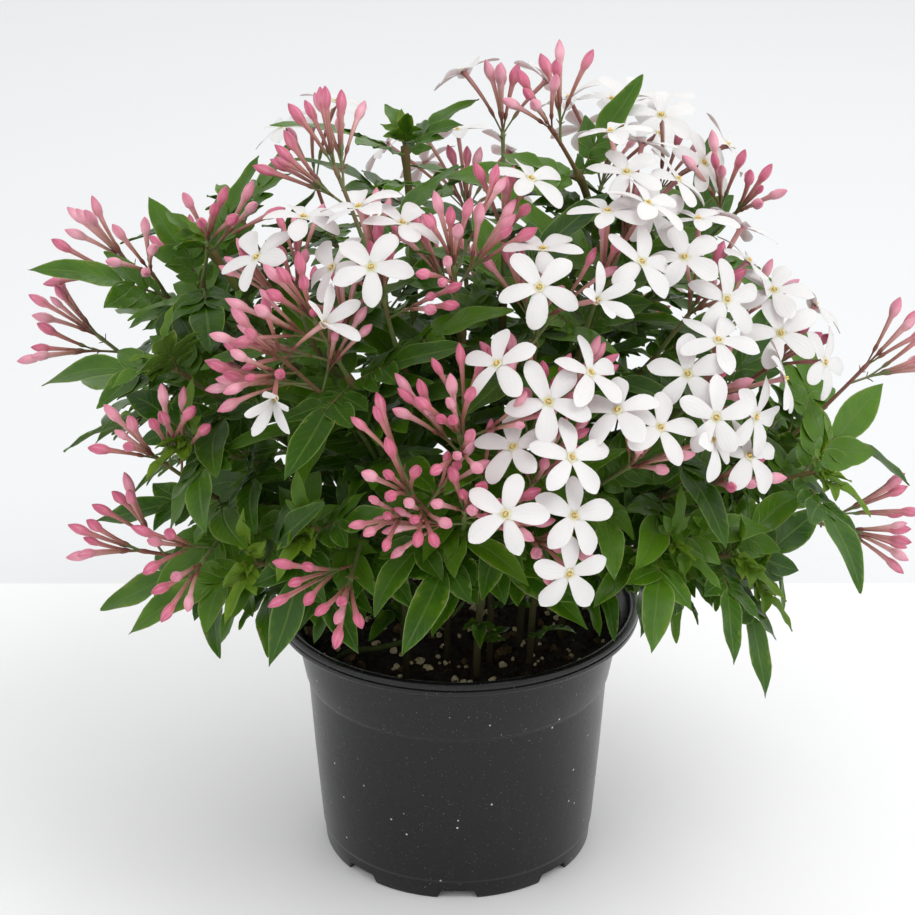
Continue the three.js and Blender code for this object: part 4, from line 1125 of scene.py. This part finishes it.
def lump(subdivisions):
    """Corners and faces of a ball, to be pressed into a grain."""
    ball = bmesh.new()
    bmesh.ops.create_icosphere(ball, subdivisions=subdivisions, radius=1)
    points = np.array([v.co for v in ball.verts])
    faces = [[v.index for v in face.verts] for face in ball.faces]
    ball.free()
    return points, faces


GRAIN_EDGE = SOIL_EDGE - 1.5
GRAIN_STRETCH = (0.7, 1.15)
BIG_GRAINS = 0.5  # how much larger the few largest are
GRAIN_FINENESS = 1.3


def grains(name, count, sizes, roughness, sunk, subdivisions, seed, flat=0.8):
    """Irregular grains strewn over the soil, each pressed out of a ball by noise."""
    rng = np.random.default_rng(seed)
    ball, ball_faces = lump(subdivisions)
    points, faces = [], []
    for i in range(count):
        r = GRAIN_EDGE * math.sqrt(rng.uniform(0, 1))
        a = rng.uniform(0, 2 * math.pi)
        x, y = r * math.cos(a), r * math.sin(a)
        size = rng.uniform(*sizes) * (1 + BIG_GRAINS * rng.uniform(0, 1) ** 4)
        stretch = size * rng.uniform(*GRAIN_STRETCH, 3) * np.array([1, 1, flat])
        apart = Vector((i * 3.1, seed, 0))
        bumps = np.array([noise.noise(Vector(p * GRAIN_FINENESS) + apart) for p in ball])
        turns = rng.uniform(0, 2 * math.pi, 2)
        (c, d), (s, t) = np.cos(turns), np.sin(turns)
        spin = np.array([[c, -s, 0], [s, c, 0], [0, 0, 1]])
        lean = np.array([[1, 0, 0], [0, d, -t], [0, t, d]])
        shaped = (ball * (1 + roughness * bumps)[:, None] * stretch) @ lean.T @ spin.T
        low = soil_height(x, y) + size * sunk
        base = len(points)
        points.extend(shaped + np.array([x, y, low]))
        faces.extend([[base + k for k in face] for face in ball_faces])
    made = mesh_object(name, points, faces)
    smooth(made.data)
    return made


# ------------------------------------------------------------------ finishes


class Value:
    """A number that a finish works out, with the signs of arithmetic."""

    def __init__(self, finish, socket):
        self.finish, self.socket = finish, socket

    def __add__(self, other):
        return self.finish.math("ADD", self, other)

    def __radd__(self, other):
        return self.finish.math("ADD", other, self)

    def __sub__(self, other):
        return self.finish.math("SUBTRACT", self, other)

    def __rsub__(self, other):
        return self.finish.math("SUBTRACT", other, self)

    def __mul__(self, other):
        return self.finish.math("MULTIPLY", self, other)

    def __abs__(self):
        return self.finish.math("ABSOLUTE", self)


class Finish:
    """A Principled material, with short names for the nodes that feed it."""

    def __init__(self, name, **values):
        self.made = bpy.data.materials.new(name)
        self.made.use_nodes = True
        self.tree = self.made.node_tree
        self.skin = self.tree.nodes["Principled BSDF"]
        for key, value in values.items():
            self.skin.inputs[key.replace("_", " ")].default_value = value

    def node(self, kind, **settings):
        made = self.tree.nodes.new("ShaderNode" + kind)
        for key, value in settings.items():
            setattr(made, key, value)
        return made

    def set(self, socket, value):
        if isinstance(value, Value):
            value = value.socket
        if isinstance(value, bpy.types.NodeSocket):
            self.tree.links.new(value, socket)
        else:
            socket.default_value = value

    def parts(self, vector):
        """The three numbers of a vector."""
        made = self.node("SeparateXYZ")
        self.set(made.inputs[0], vector)
        return [Value(self, part) for part in made.outputs]

    def shape(self):
        """Along the piece, across it, and its tone."""
        return self.parts(self.node("Attribute", attribute_name="shape").outputs["Vector"])

    def place(self, stretch=(1, 1, 1)):
        """Place on the object, in metres, stretched for a grain."""
        read = self.node("TexCoord")
        mapping = self.node("Mapping")
        mapping.inputs["Scale"].default_value = stretch
        self.set(mapping.inputs["Vector"], read.outputs["Object"])
        return mapping.outputs[0]

    def texture(self, kind, output, stretch, **inputs):
        made = self.node(kind)
        self.set(made.inputs["Vector"], self.place(stretch))
        for key, value in inputs.items():
            made.inputs[key].default_value = value
        return Value(self, made.outputs[output])

    def noise(self, scale, detail=3.0, roughness=0.55, stretch=(1, 1, 1)):
        return self.texture("TexNoise", "Fac", stretch, Scale=scale, Detail=detail, Roughness=roughness)

    def cells(self, scale):
        return self.texture("TexVoronoi", "Distance", (1, 1, 1), Scale=scale)

    def math(self, operation, a, b=0.0):
        made = self.node("Math", operation=operation)
        self.set(made.inputs[0], a)
        self.set(made.inputs[1], b)
        return Value(self, made.outputs[0])

    def band(self, value, low, high):
        """0 below low, 1 above high, smooth between."""
        made = self.node("MapRange", interpolation_type="SMOOTHSTEP")
        self.set(made.inputs["Value"], value)
        made.inputs["From Min"].default_value = low
        made.inputs["From Max"].default_value = high
        return Value(self, made.outputs["Result"])

    def ramp(self, value, *stops):
        """Colour at a value, from (position, colour) stops."""
        made = self.node("ValToRGB")
        self.set(made.inputs[0], value)
        elements = made.color_ramp.elements
        while len(elements) < len(stops):
            elements.new(1.0)
        for element, (position, colour) in zip(elements, stops):
            element.position = position
            element.color = (*colour, 1)
        return made.outputs[0]

    def mix(self, share, *colours):
        """The first of two colours at 0, the second at 1."""
        made = self.node("Mix", data_type="RGBA")
        self.set(made.inputs["Factor"], share)
        for socket, colour in zip(made.inputs[6:8], colours):
            self.set(socket, colour if isinstance(colour, bpy.types.NodeSocket) else (*colour, 1))
        return made.outputs[2]

    def feed(self, name, value):
        self.set(self.skin.inputs[name], value)

    def bump(self, height, strength, distance):
        made = self.node("Bump")
        made.inputs["Strength"].default_value = strength
        made.inputs["Distance"].default_value = distance
        self.set(made.inputs["Height"], height)
        self.feed("Normal", made.outputs["Normal"])


def stem_finish():
    """Woody and brown at the foot, darkened there with painted shade under the leaves, green further up,
    reddish where the sprays begin.
    """
    f = Finish("stem", Roughness=0.7, Specular_IOR_Level=0.12)
    along, _, tone = f.shape()
    grain = f.noise(260, 4, 0.6, (1, 1, 0.18))
    # The darkest stops, at the foot, are painted shade under the crown over the stem's own woody brown.
    colour = f.ramp(
        along + (grain - 0.5) * 0.35,
        (0.0, (0.016, 0.012, 0.007)), (0.2, (0.030, 0.030, 0.011)), (0.5, (0.065, 0.10, 0.022)),
        (0.8, (0.09, 0.15, 0.028)), (1.0, (0.13, 0.09, 0.035)),
    )
    f.feed("Base Color", f.mix(tone * 0.35, colour, (0.11, 0.10, 0.04)))
    f.bump(grain, 0.5, 0.0006)
    return f.made


def leaf_finish(name, deep, fresh, rib, margin, roughness, gloss):
    """A leaflet's skin: sunk midrib, side veins, paler margin, and patches of two greens."""
    f = Finish(
        name, Roughness=roughness, Specular_IOR_Level=gloss,
        Subsurface_Weight=0.12, Subsurface_Scale=0.002, Subsurface_Radius=(0.6, 1.0, 0.3),
    )
    along, across_, tone = f.shape()
    out = abs(across_)
    patch = f.noise(55, 3) * 0.7 + tone * 0.5
    colour = f.mix(f.band(patch, 0.3, 0.85), deep, fresh)
    wave = f.math("FRACT", along * 8.0 - out * 1.7)
    vein = f.band(1.0 - abs(wave - 0.5) * 2.0, 0.86, 1.0)
    colour = f.mix(vein * 0.28, colour, rib)
    middle = 1.0 - f.band(out, 0.03, 0.11)
    colour = f.mix(middle * 0.7, colour, rib)
    colour = f.mix(f.band(out, 0.88, 1.0) * 0.6, colour, margin)
    f.feed("Base Color", colour)
    f.bump(f.noise(900, 2) * 0.25 - (vein + middle * 1.5), 0.35, 0.0003)
    return f.made


def stalk_finish(name, green, red):
    """Green at the root, flushed with maroon outwards."""
    f = Finish(name, Roughness=0.5)
    along, _, tone = f.shape()
    streak = f.noise(300, 3, 0.5, (1, 1, 0.4))
    flush = along * 3.0 + (tone - 0.5) * 0.9 + (streak - 0.5) * 0.8
    f.feed("Base Color", f.mix(f.band(flush, 0.05, 0.75), green, red))
    return f.made


def bud_finish(name):
    """Dusty tube and rosy head, with streaks along the rolled petals."""
    f = Finish(
        name, Roughness=0.36,
        Subsurface_Weight=0.15, Subsurface_Scale=0.002, Subsurface_Radius=(1.0, 0.4, 0.4),
    )
    along, turn, tone = f.shape()
    rosy = f.ramp(
        along, (0.24, (0.17, 0.06, 0.035)), (0.36, (0.30, 0.115, 0.08)), (0.56, (0.48, 0.20, 0.18)),
        (0.66, (0.58, 0.19, 0.22)), (0.80, (0.64, 0.17, 0.26)), (0.92, (0.56, 0.11, 0.21)),
        (1.0, (0.38, 0.06, 0.12)),
    )
    pale = f.ramp(
        along, (0.24, (0.20, 0.11, 0.04)), (0.36, (0.42, 0.21, 0.15)), (0.6, (0.70, 0.38, 0.38)),
        (0.82, (0.82, 0.42, 0.50)), (1.0, (0.60, 0.20, 0.29)),
    )
    colour = f.mix(f.band(tone, 0.35, 1.0), rosy, pale)
    fold = abs(f.math("FRACT", turn * 5.0) - 0.5)
    streak = f.noise(420, 3, 0.5, (1, 1, 0.3)) * (fold * 1.6)
    f.feed("Base Color", f.mix(f.band(streak, 0.12, 0.6) * 0.3, colour, (0.82, 0.50, 0.54)))
    f.bump(streak, 0.25, 0.0004)
    return f.made


def petal_finish(name, middle, edge, heart):
    """Petal skin, tinted at the heart and along its lines."""
    f = Finish(
        name, Roughness=0.5, Sheen_Weight=0.05,
        Subsurface_Weight=0.3, Subsurface_Scale=0.003, Subsurface_Radius=(1.0, 0.9, 0.8),
    )
    along, across_, _ = f.shape()
    lines = f.noise(500, 2, 0.5)
    colour = f.mix(f.band(abs(across_) * 0.8 + (lines - 0.5) * 0.5, 0.1, 0.9), middle, edge)
    near = 1.0 - f.band(along, 0.03, 0.13)
    f.feed("Base Color", f.mix(near * 0.6, colour, heart))
    f.bump(f.math("SINE", across_ * 16.0) * 0.5 + lines, 0.12, 0.0003)
    return f.made


def throat_finish():
    """Cream at the mouth, ochre further in, and darkening into the depth as painted shade inside the throat.
    """
    f = Finish("throat", Roughness=0.5, Subsurface_Weight=0.2, Subsurface_Scale=0.001)
    along, _, tone = f.shape()
    # The ramp's dark end at the depth is painted shade of the throat's hole, over its own yellow.
    colour = f.ramp(along, (0.0, (0.76, 0.74, 0.60)), (0.4, (0.64, 0.55, 0.26)), (1.0, (0.22, 0.16, 0.03)))
    f.feed("Base Color", f.mix(tone * 0.3, colour, (0.50, 0.46, 0.18)))
    return f.made


def anther_finish():
    """Grainy yellow pollen."""
    f = Finish("anther", Roughness=0.75)
    grain = f.noise(2500, 2)
    f.feed("Base Color", f.mix(grain, (0.70, 0.42, 0.08), (0.90, 0.70, 0.28)))
    f.bump(grain, 0.5, 0.0002)
    return f.made


def plastic_finish():
    """Black moulded plastic, satin, with dust in its texture, pale specks and upright scuffs."""
    f = Finish("pot_plastic", Specular_IOR_Level=0.36)
    cloud = f.noise(28, 5, 0.6)
    scuff = f.noise(120, 4, 0.65, (1, 1, 0.22))
    speck = f.band(f.noise(1500, 2, 0.4), 0.70, 0.76)
    spots = (1.0 - f.band(f.cells(150), 0.05, 0.08)) * f.band(f.noise(60, 2), 0.46, 0.54)
    dust = f.band(scuff, 0.55, 0.85) * f.band(cloud, 0.4, 0.75)
    colour = f.mix(dust * 0.25, (0.005, 0.005, 0.006), (0.10, 0.10, 0.105))
    colour = f.mix(speck * 0.5, colour, (0.3, 0.29, 0.28))
    f.feed("Base Color", f.mix(spots * 0.85, colour, (0.62, 0.61, 0.58)))
    f.feed("Roughness", 0.2 + (dust + cloud) * 0.14)
    f.bump(f.noise(420, 3) + scuff * 0.6, 0.12, 0.0005)
    return f.made


def earth_finish(name, dark, light, scale, roughness=0.95):
    """Two browns in a coarse grain, rough to the touch."""
    f = Finish(name, Roughness=roughness, Specular_IOR_Level=0.25)
    f.feed("Base Color", f.mix(f.band(f.noise(scale, 5, 0.65), 0.35, 0.75), dark, light))
    f.bump(f.noise(scale * 3, 4, 0.7), 0.8, 0.0008)
    return f.made


# ------------------------------------------------------------------ the finished pieces


class Crowd:
    """Points at which flowers stand, each with the room that it takes."""

    def __init__(self):
        self.points, self.rooms = [], []

    def add(self, points, room):
        self.points.extend(points)
        self.rooms.extend([room] * len(points))

    def is_clear(self, points, room):
        """Whether new points keep their room and stay in the part's box."""
        points = np.array(points)
        if ((points * MM < BOX_LOW) | (points * MM > BOX_HIGH)).any():
            return False
        apart = np.linalg.norm(np.array(self.points)[None] - points[:, None], axis=2)
        return bool((apart > np.array(self.rooms)[None] + room).all())


BUD_ROOM = 2.3
PETAL_ROOM = 1.6
BOX_LOW = np.array(cad_box[0]) + 3 * MM
BOX_HIGH = np.array(cad_box[1]) - 3 * MM
# Azimuths and elevations between which the sprays are crowded, and what they and the others get.
CROWDED = ((-40, 24), (16, 56))
CROWDED_BUDS, RIGHT_BUDS, LEFT_BUDS = 4, 3, 1
MORE_SIZES = (0.74, 0.98)
MORE_TILTS = (4, 30)
FIRST_TILT = 3
MORE_CYMES = 3
BUDS_OF_CYME = 5
CYME_SHARES = (0.2, 0.95)
CYME_TILTS = (30, 58)
CYME_LENGTHS = (1.0, 1.6)
CYME_BUD_TILTS = (10, 26)
# By spray, places on the crown where one more bloom may open.
MORE_BLOOMS = {
    21: [(42, 53, 1.0)],
    22: [(68, 63, 1.0), (56, 66, 1.02), (50, 54, 0.98)],
    23: [(128, 58, 1.02), (150, 56, 1.0)],
    24: [(92, 53, 1.02), (94, 62, 1.02)],
    25: [(46, 46, 1.0), (69, 46, 1.0)],
    26: [(77, 31, 1.0), (64, 37, 1.0)],
    27: [(38, 26, 1.0)],
    35: [(-172, 44, 1.0), (170, 30, 1.0)],
    41: [(-148, 55, 1.0)],
    42: [(158, 73, 1.0), (150, 64, 1.0)],
}


def head_points(bud):
    tip = bud["root"] + bud["direction"] * bud["reach"]
    return [tip - bud["direction"] * BUD_HEAD * bud["size"] * share for share in (0.05, 0.35, 0.65, 1.0)]


def petal_points(bloom):
    return [petal_point(bloom, petal, reach) for petal in range(PETALS) for reach in (4, 8, 12)]


def fill_stalk(crowd, stalk, count, tilts, rng):
    """More buds on a stalk, a little younger, wherever one finds room."""
    first = rng.uniform(0, 360)
    root = stalk["root"] + stalk["axis"] * stalk["length"]
    for k in range(count):
        size = rng.uniform(*MORE_SIZES)
        tilt = rng.uniform(*tilts) if k else FIRST_TILT
        bud = {
            "root": root, "direction": leaning(stalk["axis"], tilt, first + k * GOLDEN_ANGLE),
            "reach": BUD_REACH * (0.35 + 0.65 * size), "axis": stalk["axis"], "size": size,
        }
        if crowd.is_clear(head_points(bud), BUD_ROOM * size):
            crowd.add(head_points(bud), BUD_ROOM * size)
            stalk["buds"].append(bud)


def open_more(crowd, spray, places, rng):
    """More blooms on a spray, each in the first of its tries that finds room."""
    for place in places:
        form = bloom_of(spray["rachis"], place, rng.uniform(0, 72))
        for attempt in BLOOM_TRIES:
            bloom, _ = form(*attempt)
            tube = list(bloom["centre"] - np.outer((5, 10, 15), bloom["direction"]))
            if crowd.is_clear(petal_points(bloom) + tube, PETAL_ROOM):
                crowd.add(petal_points(bloom), PETAL_ROOM)
                spray["blooms"].append(bloom)
                break


def is_crowded(place):
    return all(low < angle < high for angle, (low, high) in zip(place, CROWDED))


def more_buds(place):
    """How many more buds each stalk of a spray may get."""
    if is_crowded(place):
        return CROWDED_BUDS
    return RIGHT_BUDS if place[0] > 0 else LEFT_BUDS


def fill_sprays(sprays, rng):
    """The blooms and cymes that the source leaves out, and more buds on those that it has."""
    crowd = Crowd()
    for spray in sprays:
        for bloom in spray["blooms"]:
            crowd.add(petal_points(bloom), PETAL_ROOM)
        for stalk in spray["stalks"]:
            for bud in stalk["buds"]:
                crowd.add(head_points(bud), BUD_ROOM)
    for i, places in MORE_BLOOMS.items():
        open_more(crowd, sprays[i], places, rng)
    tips = [plan[1] for plan in SPRAYS]
    for spray, place in zip(sprays, tips):
        for stalk in spray["stalks"]:
            fill_stalk(crowd, stalk, more_buds(place), MORE_TILTS, rng)
    for spray, place in zip(sprays, tips):
        first = rng.uniform(0, 360)
        for k in range(MORE_CYMES * is_crowded(place)):
            share, tilt = rng.uniform(*CYME_SHARES), rng.uniform(*CYME_TILTS)
            length = CYME_STALK * rng.uniform(*CYME_LENGTHS)
            side = side_stalk(spray["rachis"], share, tilt, first + k * GOLDEN_ANGLE, length)
            side["buds"] = []
            fill_stalk(crowd, side, BUDS_OF_CYME, CYME_BUD_TILTS, rng)
            if len(side["buds"]) > 1:
                spray["stalks"].append(side)
    return crowd


def dress(piece, slot, *nodes):
    """The piece stands for CAD nodes and moves with the part; its slot is not used."""
    if nodes:
        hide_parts(*nodes)
    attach(piece, "root")


def make_sprays():
    finishes = [
        stalk_finish("flower_stalk", (0.13, 0.17, 0.05), (0.21, 0.065, 0.05)),
        bud_finish("tube"),
        bud_finish("bud"),
        petal_finish("petal_face", (0.74, 0.725, 0.71), (0.775, 0.76, 0.74), (0.62, 0.60, 0.34)),
        petal_finish("petal_back", (0.68, 0.45, 0.49), (0.72, 0.65, 0.66), (0.55, 0.30, 0.31)),
        throat_finish(),
        anther_finish(),
        stalk_finish("bract", (0.12, 0.2, 0.05), (0.2, 0.1, 0.05)),
    ]
    sprays = [grow_spray(i) for i in range(len(SPRAYS))]
    crowd = fill_sprays(sprays, np.random.default_rng(7))
    for i, spray in enumerate(sprays):
        rng = np.random.default_rng(100 + i)
        skin = Skin()
        for stalk in spray["stalks"]:
            draw_stalk(skin, stalk, rng)
            for bud in stalk["buds"]:
                draw_bud(skin, bud, rng)
        for bloom in spray["blooms"]:
            draw_bloom(skin, bloom, rng)
        dress(skin.piece(f"flower_spray_{i + 1:02d}", finishes), "spray", f"spray_{i + 1:02d}")
    return crowd


INNER_PITCH = 13  # between the small leaves inside the crown
INNER_REACH = 0.92  # on the crown, beyond which none grows
INNER_STARTS = (0.5, 1.0)
INNER_STEPS = (0.7, 1.2)
INNER_SPAN = 0.9  # of a stem, from its tip
INNER_TILTS = (45, 80)
INNER_SIZES = (0.5, 0.85)
LOW_SIZES = (0.4, 0.6)  # near the soil
LOWEST_LEAF = 9  # above the soil
BLADE_ROOM = 2.5
BLADE_LINE = np.array([14, 24, 34, 44, 50])  # along a leaf of full size, where its room is tested
POT_ROOM = 6


def clears_pot(blade):
    """Whether each point is over the rim, or inside it and over the soil."""
    inside = np.hypot(blade[:, 0], blade[:, 1]) < SOIL_EDGE - 8
    return bool((blade[:, 2] > np.where(inside, SOIL_LEVEL, POT_HEIGHT) + POT_ROOM).all())


def crown_share(point):
    return np.linalg.norm((point - [0, 0, CROWN_CENTRE]) / [CROWN_WIDTH, CROWN_DEPTH, CROWN_HEIGHT])


def fill_leaves(crowd, stem, rng):
    """Small leaves that fill the inside of the crown, clear of the flowers."""
    span = stem["path"].span
    distance = TIP_TO_LEAVES + INNER_PITCH * rng.uniform(*INNER_STARTS)
    turn = rng.uniform(0, 360)
    while distance < span * INNER_SPAN:
        point, tangent, first = stem["frames"](1 - distance / span)
        if point[2] < SOIL_LEVEL + LOWEST_LEAF:
            break
        direction = leaning_from(tangent, first, rng.uniform(*INNER_TILTS), turn)
        low = point[2] < SOIL_LEVEL + 2 * BARE_STEM
        size = rng.uniform(*(LOW_SIZES if low else INNER_SIZES))
        leaf = small_leaf(point, direction, unit(tangent + UP * LEAF_LIFT), size, bare=1)
        blade = leaf_place(leaf, BLADE_LINE, 0, 0)
        if crown_share(blade[-1]) < INNER_REACH and clears_pot(blade) and crowd.is_clear(blade, BLADE_ROOM):
            stem["leaves"].append(leaf)
        distance += INNER_PITCH * rng.uniform(*INNER_STEPS)
        turn += GOLDEN_ANGLE


def make_vines(crowd):
    rib, margin, young_margin = (0.08, 0.15, 0.02), (0.20, 0.30, 0.07), (0.18, 0.25, 0.03)
    finishes = [
        stem_finish(),
        leaf_finish("leaf_top", (0.020, 0.064, 0.002), (0.062, 0.150, 0.004), rib, margin, 0.33, 0.24),
        leaf_finish("leaf_under", (0.045, 0.10, 0.010), (0.075, 0.14, 0.016), rib, margin, 0.6, 0.15),
        leaf_finish("young_leaf", (0.048, 0.12, 0.005), (0.105, 0.19, 0.008), rib, young_margin, 0.42, 0.24),
        stalk_finish("leaf_stalk", (0.07, 0.13, 0.018), (0.10, 0.09, 0.02)),
    ]
    for i, vine in enumerate(plan_vines()):
        rng = np.random.default_rng(300 + i)
        stems = grow_vine(i, vine)
        for stem in stems:
            fill_leaves(crowd, stem, rng)
        skin = Skin()
        draw_vine(skin, stems, rng)
        if i == RUNNER_VINE:
            draw_runner(skin, rng)
        dress(skin.piece(f"jasmine_vine_{i + 1:02d}", finishes), "vine", f"vine_{i + 1:02d}")


def make_bed():
    pot = make_pot()
    pot.data.materials.append(plastic_finish())
    dress(pot, "pot", "pot")
    soil = make_soil()
    soil.data.materials.append(earth_finish("peat", (0.010, 0.007, 0.005), (0.035, 0.024, 0.016), 260))
    dress(soil, "soil", "soil")
    peat, bark, perlite = (0.012, 0.008, 0.006), (0.05, 0.03, 0.014), (0.55, 0.43, 0.22)
    strewn = [
        (grains("peat_crumbs", 900, (0.5, 1.7), 0.55, 0.15, 1, 11), peat, (0.05, 0.033, 0.02)),
        (grains("bark_chips", 70, (1.2, 2.8), 0.5, 0.2, 2, 12, 0.35), bark, (0.17, 0.10, 0.045)),
        (grains("perlite", 170, (0.6, 1.9), 0.45, 0.35, 2, 13), perlite, (0.92, 0.84, 0.62)),
    ]
    for piece, dark, light in strewn:
        piece.data.materials.append(earth_finish(piece.name + "_skin", dark, light, 700, 0.9))
        dress(piece, "soil")


# ------------------------------------------------------------------ floor, light and camera

CAMERA_PLACE = (0.0, -0.9338, 0.5907)
CAMERA_AIM = (0.0, 0.0, 0.1755)
CAMERA_LENS = 98.5
CAMERA_SENSOR = 36
FLOOR_REACH = 4000
# In metres behind the plant, where the floor's paper turns to its greyer tone, and half the soft edge.
PAPER_LINE = 0.233
PAPER_EDGE = 0.001
SKY = (0.99, 0.995, 1.0, 1)
SKY_STRENGTH = 0.945
# Name, place, size across and power of each lamp, all aimed at the middle of the plant.
LAMPS = [
    ("key", (0.6, -0.6, 1.5), 0.7, 7.0),
    ("left", (-1.2, -0.9, 0.9), 1.2, 3.0),
    ("right", (1.3, -0.5, 0.7), 1.0, 3.0),
    ("back", (0.3, 1.2, 1.2), 0.8, 2.0),
]
LAMP_AIM = (0, 0, 0.18)


def to_scene(name, data, place, target):
    """A lamp or camera at a place, turned to a target."""
    made = bpy.data.objects.new(name, data)
    made.location = place
    made.rotation_euler = (Vector(target) - made.location).to_track_quat("-Z", "Y").to_euler()
    bpy.context.scene.collection.objects.link(made)
    return made


def make_floor():
    h = FLOOR_REACH
    floor = mesh_object("floor", [(-h, -h, 0), (h, -h, 0), (h, h, 0), (-h, h, 0)], [(0, 1, 2, 3)])
    f = Finish("floor_paper", Roughness=0.6, Specular_IOR_Level=0.2)
    beyond = f.band(f.parts(f.place())[1], PAPER_LINE - PAPER_EDGE, PAPER_LINE + PAPER_EDGE)
    f.feed("Base Color", f.mix(beyond, (0.90, 0.90, 0.90), (0.79, 0.80, 0.805)))
    floor.data.materials.append(f.made)


def make_stage():
    make_floor()
    scene = bpy.context.scene
    scene.world = bpy.data.worlds.new("studio")
    scene.world.use_nodes = True
    sky = scene.world.node_tree.nodes["Background"]
    sky.inputs["Color"].default_value = SKY
    sky.inputs["Strength"].default_value = SKY_STRENGTH
    for name, place, size, power in LAMPS:
        lamp = bpy.data.lights.new(name, "AREA")
        lamp.size = size
        lamp.energy = power
        to_scene(name, lamp, place, LAMP_AIM)
    camera = bpy.data.cameras.new("camera")
    camera.lens = CAMERA_LENS
    camera.sensor_width = CAMERA_SENSOR
    scene.camera = to_scene("camera", camera, CAMERA_PLACE, CAMERA_AIM)
    scene.view_settings.view_transform = "Standard"


make_stage()
make_bed()
make_vines(make_sprays())
